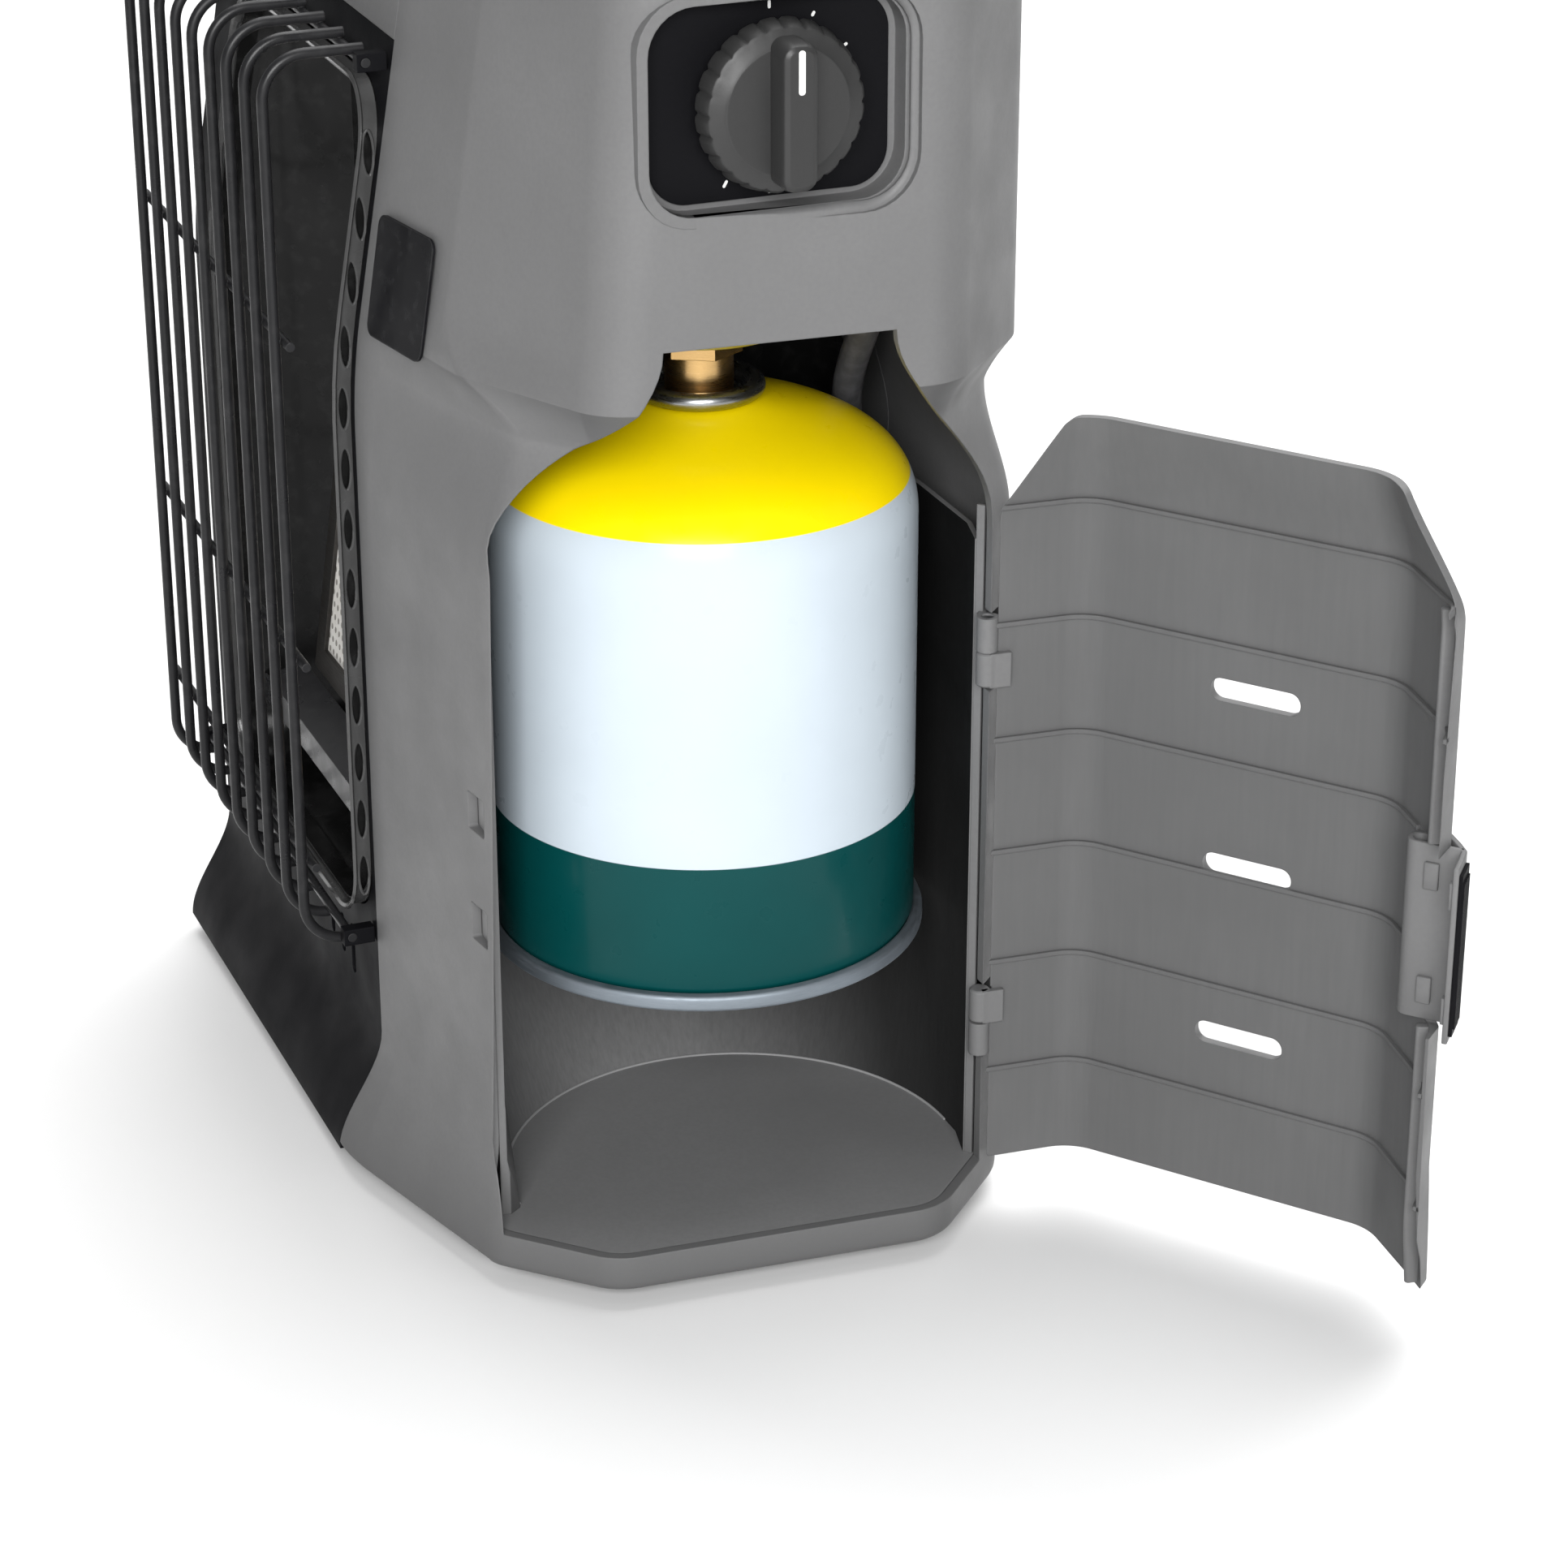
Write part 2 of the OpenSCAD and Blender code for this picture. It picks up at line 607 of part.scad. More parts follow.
module hinge_sockets() {
    color(grey) hinge_line() for (s = [-1, 1]) hinge_end(s)
        translate([0, 0, -barrel_h - seam]) difference() {
            union() {
                cylinder(d = barrel_d, h = barrel_h, $fn = fine);
                translate([-6.5, wall - hinge_in + 0.15, 0]) cube([6.5, 1.6, barrel_h]);
            }
            translate([0, 0, -1]) cylinder(d = pin_d + 2 * pin_clear, h = barrel_h + 2, $fn = fine);
        }
}

// Latch clip round the free edge of the door, drawn closed, with its two catch tabs
cheek_corner = plan_corners(latch_z)[2];
cheek_dir = unit(cheek_corner - plan_corners(latch_z)[1]);
front_bevel_dir = unit(plan_corners(latch_z)[3] - cheek_corner);
latch_wall = 1.4;
grip_t = 0.9;
grip_rib = 0.5;
latch_out = latch_travel + seam;
module on_cheek() {
    translate([cheek_corner[0], cheek_corner[1], latch_z])
        rotate([0, 0, atan2(cheek_dir[1], cheek_dir[0])]) children();
}
module on_front_bevel() {
    translate([cheek_corner[0], cheek_corner[1], latch_z])
        rotate([0, 0, atan2(front_bevel_dir[1], front_bevel_dir[0])]) children();
}
module door_latch() {
    color(grey) swing(door_open) {
        on_cheek() {
            translate([-10, -latch_out - latch_wall, -latch_h / 2]) cube([10.2, latch_wall, latch_h]);
            for (s = [-1, 1]) translate([-9, -latch_out - 0.1, s * tab_pitch / 2 - 3.5])
                cube([2.2, latch_out - seam + 0.1, 7]);
        }
        on_front_bevel() {
            translate([-1, -latch_out - latch_wall, -latch_h / 2]) cube([10, latch_wall, latch_h]);
            translate([1.3, -latch_out - 0.1, -latch_h / 2])
                cube([latch_wall, latch_out + door_t + seam + 0.2, latch_h]);
            translate([1.3, door_t + seam, -latch_h / 2]) cube([11, latch_wall, latch_h]);
        }
    }
}
module latch_grip() {
    color(black) swing(door_open) on_cheek() {
        translate([-9.5, -latch_out - latch_wall - grip_t, -latch_h / 2 + 2]) cube([8, grip_t, latch_h - 4]);
        for (i = [0:6]) translate([-9.3 + i, -grip_out, -latch_h / 2 + 4])
            cube([0.5, grip_rib + 0.1, latch_h - 8]);
    }
}
grip_out = latch_out + latch_wall + grip_t + grip_rib;

// Place of a point of the closed door after the door has swung open
function turned(v, a) = [v[0] * cos(a) - v[1] * sin(a), v[0] * sin(a) + v[1] * cos(a)];
function swung(p) = door_hinge + turned(p - door_hinge, door_open);
function cheek_point(u, out) = cheek_corner + u * cheek_dir - out * left_of(cheek_dir);

// Bare plate on the head, where the real object carries a badge
module badge_plate() {
    color(black) badge_place() translate([0, 0, 0.8]) linear_extrude(0.8) round_rect(28, 30, 3);
}
badge_z = lean_z + lean_blend + 13;
badge_from = plan_corners(badge_z)[1];
badge_dir = unit(plan_corners(badge_z)[2] - badge_from);
module badge_place() {
    translate([badge_from[0] + 16 * badge_dir[0], badge_from[1] + 16 * badge_dir[1], badge_z])
        rotate([0, 0, atan2(badge_dir[1], badge_dir[0])]) rotate([90 - atan(lean_slope), 0, 0]) children();
}

// Gas cartridge
module cartridge_body() {
    color([0.9, 0.92, 0.95]) translate([0, 0, cart_z]) rotate_extrude($fn = fine) polygon(concat(
        [[0, 6], [cart_d / 2 - 5, 2], [cart_d / 2 - 1, 1.2], [cart_d / 2 - 1, 3], [cart_d / 2, 4.6]],
        [for (i = [0:12]) dome_point(i / 12)],
        [[1.5, cart_h - bead_d], [1.5, cart_h - bead_d - cart_wall]],
        [for (i = [12:-1:0]) dome_point(i / 12) - [cart_wall, cart_wall]],
        [[cart_d / 2 - cart_wall, 4.6 + cart_wall], [0, 6 + cart_wall]]));
}
// Profile of the shoulder: a curve from the upright side to the valve ring
function dome_point(t) = let (
    a = [cart_d / 2, cart_side_h - 8],
    b = [cart_d / 2, cart_side_h + 12],
    c = [cart_d / 2 - 18, cart_h - bead_d - 6],
    d = [ring_d / 2, cart_h - bead_d]
) a * pow(1 - t, 3) + b * 3 * t * pow(1 - t, 2) + c * 3 * t * t * (1 - t) + d * pow(t, 3);

module cartridge_rim() {
    color(steel) translate([0, 0, cart_z]) rotate_extrude($fn = fine) polygon([[cart_d / 2 - 3, 0.5],
        [cart_d / 2 - 2, 0], [cart_rim_d / 2 - 0.8, 0], [cart_rim_d / 2, 0.8], [cart_rim_d / 2, 3.2],
        [cart_rim_d / 2 - 0.8, 4], [cart_d / 2 + 0.3, 4.3], [cart_d / 2 - 0.7, 3], [cart_d / 2 - 0.7, 1],
        [cart_d / 2 - 3, 1.2]]);
}

// Rolled steel ring round the valve, its sunk cup and the threaded neck
module cartridge_valve_ring() {
    color(steel) translate([0, 0, cart_z + cart_h - bead_d + 0.3]) {
        translate([0, 0, bead_d / 2]) rotate_extrude($fn = fine) translate([ring_d / 2, 0])
            circle(d = bead_d, $fn = 24);
        cylinder(d = ring_d - 2, h = 0.8, $fn = fine);
        cylinder(d = neck_d, h = 8, $fn = fine);
    }
}

// Brass connector and pressure regulator above the cartridge
conn_z = cart_z + cart_h - bead_d + 1.5;
hex_h = 7;
sleeve_h = 10;
bell_r = 17;
disc_z = conn_z + sleeve_h + hex_h + 0.3;
bell_top = ceiling_z + 12;
module brass_connector() {
    color(brass_c) translate([0, 0, conn_z]) difference() {
        union() {
            cylinder(d = 17, h = sleeve_h, $fn = fine);
            translate([0, 0, sleeve_h]) cylinder(d = 21.5, h = hex_h, $fn = 6);
        }
        translate([0, 0, -1]) cylinder(d = neck_d + 0.6, h = sleeve_h, $fn = fine);
        cylinder(d = 3, h = sleeve_h + hex_h + 1, $fn = 32);
    }
}

module connector_seal() {
    color(black) translate([0, 0, conn_z + sleeve_h - 2.2]) difference() {
        cylinder(d = neck_d - 0.4, h = 1.2, $fn = fine);
        translate([0, 0, -1]) cylinder(d = 4, h = 4, $fn = 32);
    }
}

disc_r = 25;
module regulator_body() {
    color(steel) difference() {
        union() {
            translate([0, 0, disc_z]) cylinder(r1 = disc_r - 1.5, r2 = disc_r, h = 1.5, $fn = fine);
            translate([0, 0, disc_z + 1.5]) cylinder(r = disc_r, h = 7, $fn = fine);
            translate([0, 0, disc_z + 8]) cylinder(r = bell_r, h = bell_top - disc_z - 8, $fn = fine);
            translate([0, 0, gas_port[2]]) rotate([0, -90, -90]) cylinder(d = 10, h = gas_port[1], $fn = 32);
        }
        translate([0, 0, disc_z - 1]) cylinder(d = 3, h = 24, $fn = 32);
    }
}

// Bracket that carries the regulator from the compartment ceiling
module regulator_bracket() {
    color(steel) difference() {
        union() {
            slab(-34, 34, -27, 30, ceiling_z - 1.3, ceiling_z - 0.1);
            slab(-34, -32.8, 18, 30, ceiling_z - 10, ceiling_z - 1.3);
            slab(-34, 34, 28.8, 30, ceiling_z - 10, ceiling_z - 1.3);
        }
        translate([0, 0, ceiling_z - 5]) cylinder(r = bell_r + 0.5, h = 8, $fn = fine);
    }
}

valve_z = recess_z + recess_h / 2;
valve_x = near_x - recess_d - wall - 28;
module link_tube() {
    color(brass_c) translate([0, 0, bell_top + 0.1]) difference() {
        cylinder(d = 8, h = valve_z - 13.3 - bell_top, $fn = 32);
        translate([0, 0, -1]) cylinder(d = 4, h = 60, $fn = 32);
    }
}

module control_valve() {
    color(brass_c) difference() {
        union() {
            slab(-10, valve_x + 15, mid_y - 12, mid_y + 12, valve_z - 13, valve_z + 13);
            translate([valve_x + 15, mid_y, valve_z]) rotate([0, 90, 0])
                cylinder(d = 20, h = 12.8, $fn = fine);
        }
        translate([valve_x + 10, mid_y, valve_z]) rotate([0, 90, 0])
            cylinder(d = shaft_d + 0.12, h = 40, $fn = fine);
    }
}

shaft_x0 = valve_x + 10 + push_travel + 0.5;
knob_x = near_x - recess_d + push_travel + 1.5;
shaft_x1 = knob_x + knob_h - 4.2;
module valve_shaft() {
    color(steel) translate([shaft_x0, mid_y, valve_z]) rotate([0, 90, 0])
        cylinder(d = shaft_d, h = shaft_x1 - shaft_x0, $fn = fine);
}

module control_knob() {
    color(black) translate([knob_x, mid_y, valve_z]) rotate([0, 90, 0]) difference() {
        union() {
            cylinder(d1 = knob_d, d2 = knob_d - 2, h = knob_h - 9, $fn = fine);
            translate([0, 0, knob_h - 9]) cylinder(d = knob_d - 8, h = 1.5, $fn = fine);
            translate([-knob_d / 2 + 3, -4.5, knob_h - 9]) cube([knob_d - 6, 9, 9]);
        }
        translate([0, 0, -1]) cylinder(d = shaft_d + 0.12, h = knob_h - 3, $fn = fine);
    }
}

module dial_plate() {
    color(black) along_x(near_x - recess_d + 0.02, near_x - recess_d + 0.8)
        at_recess() difference() {
            round_rect(recess_w - 4, recess_h - 3, 9);
            circle(d = shaft_d + 4, $fn = fine);
        }
}

igniter_z = valve_z - 2;
module igniter_unit() {
    color([0.2, 0.2, 0.22]) translate([-46, mid_y, igniter_z]) rotate([0, 90, 0]) {
        cylinder(d = 11, h = 35.8, $fn = fine);
        translate([0, 0, -5]) cylinder(d = 5, h = 5, $fn = 32);
    }
}

// Gas tube from the regulator, down behind the cartridge and through the bulkhead to the jet
tube_d = 8;
tube_run_y = 62;
tube_cross_z = 128;
gas_port = [0, 40, bell_top - 5.6];
tube_drop = [0.9, 46.4];
feed_x = -90;
tube_route = [
    gas_port, [0, 41.5, gas_port[2]], [0.3, 44, gas_port[2] - 1], [0.8, 46.2, gas_port[2] - 4.2],
    [1, 47, 252], [0.2, 47.4, 243], [-4, 47.8, 234],
    [-12, 48.4, 224], [-21, 49.2, 213], [-30, 51.5, 202], [-37, 55, 191], [-41, 58.5, 180],
    [-42.5, 61, 168], [-43, 62.2, 157], [-44, 62.4, 147], [-46.5, 62.3, 138], [-51, 62.1, 132],
    [-57, 62, tube_cross_z + 0.7], [-64, 62, tube_cross_z], [-72, 62, tube_cross_z], [-79, 61, tube_cross_z],
    [-85, 57.5, tube_cross_z], [-88.5, 52, tube_cross_z], [feed_x, 45, tube_cross_z],
    [feed_x, 37.7, tube_cross_z]
];
function tube_ring(route, i, r, n) = let (
    a = route[max(0, i - 1)],
    b = route[min(len(route) - 1, i + 1)],
    t = unit(b - a),
    u = unit(cross(t, abs(t[0]) < 0.9 ? [1, 0, 0] : [0, 0, 1])),
    v = cross(t, u)
) [for (k = [0:n - 1]) let (w = 360 * k / n) route[i] + r * (cos(w) * u + sin(w) * v)];
module swept_tube(route, r, n) {
    m = len(route);
    pts = [for (i = [0:m - 1]) each tube_ring(route, i, r, n)];
    side = [for (j = [0:m - 2], i = [0:n - 1]) let (k = (i + 1) % n)
        each [[j * n + i, (j + 1) * n + k, (j + 1) * n + i], [j * n + i, j * n + k, (j + 1) * n + k]]];
    polyhedron(pts, concat([[for (i = [n - 1:-1:0]) i]], side, [[for (i = [0:n - 1]) (m - 1) * n + i]]),
        convexity = 6);
}
module gas_tube() {
    color([0.3, 0.3, 0.31]) swept_tube(tube_route, tube_d / 2, 12);
}

// Burner: jet, mixing tube, plenum and the tilted ceramic tile
burner_x = -dish_near - dish_w / 2;
jet_y = 20;
module injector_block() {
    color(steel) difference() {
        slab(feed_x - 7, feed_x + 7, jet_y, 37.6, tube_cross_z - 7, tube_cross_z + 7);
        translate([feed_x, jet_y - 1, tube_cross_z]) rotate([-90, 0, 0]) cylinder(d = 4, h = 30, $fn = 32);
    }
}
module injector_jet() {
    color(brass_c) translate([feed_x, jet_y, tube_cross_z]) rotate([90, 0, 0]) difference() {
        union() {
            cylinder(d = 9, h = 4, $fn = 6);
            translate([0, 0, 4]) cylinder(d = 5, h = 4, $fn = 32);
        }
        translate([0, 0, -1]) cylinder(d = 1, h = 12, $fn = 32);
    }
}

// Turns the burner's own axes, with Z along its height, to their tilted place
module on_burner() {
    translate([tile_x, -front_d + tile_in, tile_z]) rotate([-tile_tilt, 0, 0]) children();
}
tile_x = -bulk_x - sheet_t - 41;
tile_in = 17;
plenum_d = 16;
module burner_tile() {
    color([0.92, 0.91, 0.88]) on_burner()
        translate([-tile_w / 2, 0, 0]) cube([tile_w, tile_t, tile_h]);
}
module tile_frame() {
    color(steel) on_burner() difference() {
        translate([-tile_w / 2 - 3, -1.2, -3]) cube([tile_w + 6, tile_t + 1.1, tile_h + 6]);
        translate([-tile_w / 2 - 0.1, -0.1, -0.1]) cube([tile_w + 0.2, tile_t + 2, tile_h + 0.2]);
        translate([-tile_w / 2 + 4, -5, 4]) cube([tile_w - 8, 20, tile_h - 8]);
    }
}
module burner_plenum() {
    color(steel) difference() {
        on_burner() difference() {
            translate([-tile_w / 2 - 3, tile_t + 0.1, -3]) cube([tile_w + 6, plenum_d, tile_h + 6]);
            translate([-tile_w / 2 + 2, tile_t - 1, 3]) cube([tile_w - 4, plenum_d - 0.4, tile_h - 6]);
        }
        at_mixing_tube() translate([0, 0, 20]) cylinder(d = mix_d + 0.2, h = 20, $fn = fine);
    }
}
module mixing_tube() {
    color(steel) at_mixing_tube() difference() {
        union() {
            cylinder(d1 = 20, d2 = mix_d, h = 10, $fn = fine);
            translate([0, 0, 9.9]) cylinder(d = mix_d, h = mix_len - 9.9, $fn = fine);
        }
        translate([0, 0, -1]) cylinder(d1 = 18, d2 = mix_d - 3, h = 12, $fn = fine);
        translate([0, 0, 10]) cylinder(d = mix_d - 3, h = mix_len, $fn = fine);
    }
}

mix_d = 14;
mix_len = 39.5;
module at_mixing_tube() {
    translate([feed_x, jet_y - 8.5, tube_cross_z]) rotate([90, 0, 0]) children();
}

// Pressed steel dish with its perforated rim
dish_mid_z = dish_z + dish_h / 2;
module dish_rect(grow, r) {
    translate([burner_x, dish_mid_z]) round_rect(dish_w + 2 * grow, dish_h + 2 * grow, r + grow);
}
module rim_profile(back, front) {
    polygon(concat([for (z = panel_levels) [front_y(z) - front, z]],
        [[front_y(panel_top) - front, head_top], [front_y(panel_top) + back, head_top]],
        [for (z = reversed(panel_levels)) [front_y(z) + back, z]]));
}
module reflector_dish() {
    color(black) union() {
        difference() {
            intersection() {
                along_y(-front_d - 30, -front_d + 40) difference() {
                    dish_rect(-0.2, 16);
                    dish_rect(-0.2 - sheet_t, 16);
                }
                along_x(-far_x, 0) rim_profile(rim_d - rim_out, rim_out);
            }
            for (z = [dish_z + 14:rim_pitch:dish_z + dish_h - 14])
                along_x(-far_x, 0) translate([front_y(z) - rim_out + 2.4, z])
                    square([2.5, rim_hole], center = true);
        }
        dish_bowl();
    }
}
module dish_bowl() {
    back_y = -front_d + dish_d;
    difference() {
        hull() {
            dish_slice(front_y(foot_h + toe_h) + rim_d - rim_out - 2, -0.2, 15);
            dish_slice(back_y, -14, 8);
        }
        hull() {
            dish_slice(front_y(foot_h + toe_h) + rim_d - rim_out - 3, -0.2 - sheet_t, 15);
            dish_slice(back_y - sheet_t, -14 - sheet_t, 8);
        }
        on_burner() translate([-tile_w / 2 - 3.4, -30, -3.4]) cube([tile_w + 6.8, 80, tile_h + 6.8]);
        along_x(-far_x, 0) polygon([[-front_d - 30, 0], [-front_d + lean(dish_z + dish_h) + 8, head_top],
            [-front_d - 30, head_top]]);
    }
}
module dish_slice(y, grow, r) {
    along_y(y - 0.01, y) dish_rect(grow, r);
}

// Tray under the tile that keeps the heat off the casing
module lower_tray() {
    color(black) {
        along_x(burner_x - dish_w / 2 + 8, burner_x + dish_w / 2 - 8) polygon([
            [-front_d + 4, dish_z + 18], [-front_d + 5, dish_z + 18], [-front_d + 5, dish_z + 25],
            [-front_d + 14, dish_z + 29.2], [-front_d + 14, dish_z + 30.4], [-front_d + 4, dish_z + 26]]);
        slab(burner_x - dish_w / 2 + 2.6, burner_x + dish_w / 2 - 2.6, -front_d + 4, -front_d + 5,
            dish_z + 18, dish_z + 25);
    }
}

pilot_z = dish_z + 30.6;
module pilot_bracket() {
    color(steel) {
        slab(-dish_near - 22, -dish_near - 10, -front_d + 6.4, -front_d + 7.4, pilot_z, pilot_z + 20);
        slab(-dish_near - 22, -dish_near - 10, -front_d + 6.4, -front_d + 14, pilot_z, pilot_z + 1);
    }
}
module spark_electrode() {
    color([0.9, 0.9, 0.88]) translate([-dish_near - 13, -front_d + 3.6, pilot_z + 1]) {
        cylinder(d = 5, h = 12, $fn = 32);
        translate([0, 0, 11.9]) cylinder(d = 1.4, h = 10, $fn = 24);
    }
}
module thermocouple() {
    color(brass_c) translate([-dish_near - 19.5, -front_d + 3.6, pilot_z + 1]) {
        cylinder(d = 4.6, h = 8, $fn = 32);
        translate([0, 0, 7.9]) cylinder(d = 3, h = 12, $fn = 24);
    }
}

// Wire guard: upright wires bent back at both ends, with cross wires behind them
guard_y = -front_d - guard_out;
guard_first = split_x + 8.5;
function wire_x(i) = -guard_first - wire_pitch * i;
module upright_wire(x) {
    lower_back = -front_d - guard_y - guard_r - 5;
    upper_back = lower_back + lean(guard_z + guard_h);
    translate([x, guard_y, guard_z + guard_r]) cylinder(d = wire_d, h = guard_h - 2 * guard_r, $fn = 20);
    translate([x, guard_y + guard_r, guard_z + guard_r]) rotate([0, 90, 0]) rotate([0, 0, -90])
        bend(guard_r);
    translate([x, guard_y + guard_r, guard_z + guard_h - guard_r]) rotate([0, -90, 0]) rotate([0, 0, -90])
        bend(guard_r);
    translate([x, guard_y + guard_r, guard_z]) rotate([-90, 0, 0]) cylinder(d = wire_d, h = lower_back, $fn = 20);
    translate([x, guard_y + guard_r, guard_z + guard_h]) rotate([-90, 0, 0])
        cylinder(d = wire_d, h = upper_back, $fn = 20);
}
// A quarter turn of wire about Z, from the X axis
module bend(r) {
    rotate_extrude(angle = 90, $fn = 48) translate([r, 0]) circle(d = wire_d, $fn = 20);
}
cross_z = [guard_z + 24, guard_z + 80, guard_z + 165];
module cross_wire(y, z, extra) {
    translate([wire_x(wire_n - 1) - extra, y, z]) rotate([0, 90, 0])
        cylinder(d = wire_d - 0.4, h = wire_pitch * (wire_n - 1) + 2 * extra, $fn = 20);
}
module wire_guard() {
    color(black) {
        for (i = [0:wire_n - 1]) upright_wire(wire_x(i));
        for (z = cross_z) cross_wire(guard_y + wire_d - 0.5, z, 6);
        cross_wire(-front_d - 6, guard_z + wire_d - 0.5, 6);
        cross_wire(-front_d - 6 + lean(guard_z + guard_h), guard_z + guard_h - wire_d + 0.5, 6);
    }
}
module guard_clips() {
    color(black) for (x = [wire_x(0) + 4.2, wire_x(wire_n - 1) - 4.2]) {
        guard_clip(x, -front_d - 6, guard_z + wire_d - 0.5);
        guard_clip(x, -front_d - 6 + lean(guard_z + guard_h), guard_z + guard_h - wire_d + 0.5);
    }
}
module guard_clip(x, y, z) {
    difference() {
        slab(x - 1.8, x + 1.8, y - 2.2, front_y(z - 2.2), z - 2.2, z + 2.2);
        translate([x - 5, y, z]) rotate([0, 90, 0]) cylinder(d = wire_d - 0.4 + 0.2, h = 10, $fn = 32);
    }
}

// Louvred panel on the back
rear_x = 121;
rear_z = 112;
rear_w = 120;
rear_h = 140;
rear_hole = [rear_w / 2 - 8, rear_h / 2 - 8];
module rear_panel() {
    color(grey) difference() {
        along_y(rear_d - 1.8, rear_d - 0.2)
            translate([-rear_x, rear_z]) round_rect(rear_w - 2 * seam, rear_h - 2 * seam, 8);
        for (i = [0:11]) along_y(rear_d - 5, rear_d + 5)
            translate([-rear_x, rear_z - 46.8 + 8.5 * i]) round_rect(80, 3.4, 1.6);
        at_rear_screws() cylinder(d = 3.4, h = 10, $fn = 32);
    }
}
module at_rear_screws() {
    for (sx = [-1, 1], sz = [-1, 1])
        translate([-rear_x + sx * rear_hole[0], rear_d + 1, rear_z + sz * rear_hole[1]])
            rotate([90, 0, 0]) children();
}
module rear_screws() {
    color(steel) at_rear_screws() {
        translate([0, 0, -0.6]) cylinder(d = 6.4, h = 1.8, $fn = 32);
        translate([0, 0, 1.1]) cylinder(d = 3, h = 9, $fn = 32);
    }
}

// Tip-over cut-out: a case with a hanging weight
tilt_place = [-150, 30, foot_h + 2.4];
module tilt_switch_case() {
    color(black) translate(tilt_place) difference() {
        translate([-15, -15, 0.1]) cube([30, 30, 44]);
        translate([-13, -13, 2]) cube([26, 26, 40]);
        translate([-20, 0, 38]) rotate([0, 90, 0]) cylinder(d = 2.16, h = 40, $fn = 32);
    }
}
module tilt_weight() {
    color(steel) translate(tilt_place) {
        translate([-15, 0, 38]) rotate([0, 90, 0]) cylinder(d = 2, h = 30, $fn = 32);
        translate([0, 0, 16]) cylinder(d = 3, h = 22.5, $fn = 32);
        translate([0, 0, 8]) cylinder(d = 13.4, h = 10, $fn = fine);
    }
}

// Folding carry handle, drawn folded back on the top cover
pivot_z = head_top + grip_d / 2 + 0.4;
pivot_y = 0;
module handle_sockets() {
    color(grey) for (s = [-1, 1]) translate([-handle_x + s * (handle_w / 2 + 4.3), pivot_y, head_top + 0.01])
        difference() {
            union() {
                translate([-4, -8, 0]) cube([8, 16, pivot_z - head_top]);
                translate([-4, 0, pivot_z - head_top]) rotate([0, 90, 0]) cylinder(d = 16, h = 8, $fn = fine);
            }
            translate([-5, 0, pivot_z - head_top]) rotate([0, 90, 0])
                cylinder(d = handle_wire + 0.14, h = 10, $fn = fine);
        }
}
bail_r = 9;
module handle_wire_bail() {
    color(steel) translate([-handle_x, pivot_y, pivot_z]) {
        for (s = [-1, 1]) {
            translate([s * (handle_w / 2 - bail_r / 2), 0, 0]) rotate([0, s * 90, 0])
                translate([0, 0, -bail_r / 2]) cylinder(d = handle_wire, h = bail_r + 7, $fn = fine);
            translate([s * (handle_w / 2 - 6), 0, 0]) rotate([-90, 0, 0])
                cylinder(d = handle_wire, h = handle_reach - bail_r, $fn = fine);
            translate([s * (handle_w / 2 - 6 - bail_r), handle_reach - bail_r, 0])
                rotate([0, 0, s > 0 ? 0 : 90])
                rotate_extrude(angle = 90, $fn = 96) translate([bail_r, 0]) circle(d = handle_wire, $fn = 32);
        }
        translate([-(handle_w / 2 - 6 - bail_r), handle_reach, 0]) rotate([0, 90, 0])
            cylinder(d = handle_wire, h = handle_w - 12 - 2 * bail_r, $fn = fine);
    }
}
module handle_grip() {
    color(black) translate([-handle_x - grip_w / 2, pivot_y + handle_reach, pivot_z]) rotate([0, 90, 0])
        difference() {
            cylinder(d = grip_d, h = grip_w, $fn = fine);
            translate([0, 0, -1]) cylinder(d = handle_wire + 0.2, h = grip_w + 2, $fn = fine);
        }
}

// Moves the whole object so that its origin is below the middle of its box
function bevel_point(u, out) = cheek_corner + u * front_bevel_dir - out * left_of(front_bevel_dir);
box_points = [swung(cheek_point(-9.5, grip_out - grip_rib)), swung(cheek_point(-9.3, grip_out)),
    swung(bevel_point(9, latch_out + latch_wall)), swung(bevel_point(-1, latch_out + latch_wall)),
    swung(bevel_point(12.3, -door_t - seam - latch_wall)), swung(bevel_point(12.3, -door_t - seam))];
origin_x = (max([for (p = box_points) p[0]]) - far_x) / 2;
origin_y = (max([for (p = box_points) p[1]]) + guard_y - wire_d / 2) / 2;

module placed() {
    translate([-origin_x, -origin_y, 0]) children();
}

placed() near_shell();
placed() far_shell();
placed() top_cover();
placed() front_panel();
placed() base_plate();
placed() feet();
placed() base_screws();
placed() compartment_wall();
placed() compartment_floor();
placed() bulkhead();
placed() compartment_ceiling();
placed() hinge_sockets();
placed() door();
placed() door_hinge_pins();
placed() door_latch();
placed() latch_grip();
placed() badge_plate();
placed() cartridge_body();
placed() cartridge_rim();
placed() cartridge_valve_ring();
placed() brass_connector();
placed() connector_seal();
placed() regulator_body();
placed() regulator_bracket();
placed() link_tube();
placed() control_valve();
placed() valve_shaft();
placed() control_knob();
placed() dial_plate();
placed() igniter_unit();
placed() gas_tube();
placed() injector_block();
placed() injector_jet();
placed() mixing_tube();
placed() burner_plenum();
placed() burner_tile();
placed() tile_frame();
placed() reflector_dish();
placed() lower_tray();
placed() pilot_bracket();
placed() spark_electrode();
placed() thermocouple();
placed() wire_guard();
placed() guard_clips();
placed() rear_panel();
placed() rear_screws();
placed() tilt_switch_case();
placed() tilt_weight();
placed() handle_sockets();
placed() handle_wire_bail();
placed() handle_grip();
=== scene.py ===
"""Looks of the portable gas heater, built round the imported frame.

The shape functions work in millimetres about the cartridge axis: X to the door side, -Y to the burner
front, Z up from the floor. The function put() turns such a point into metres in the row frame.
"""

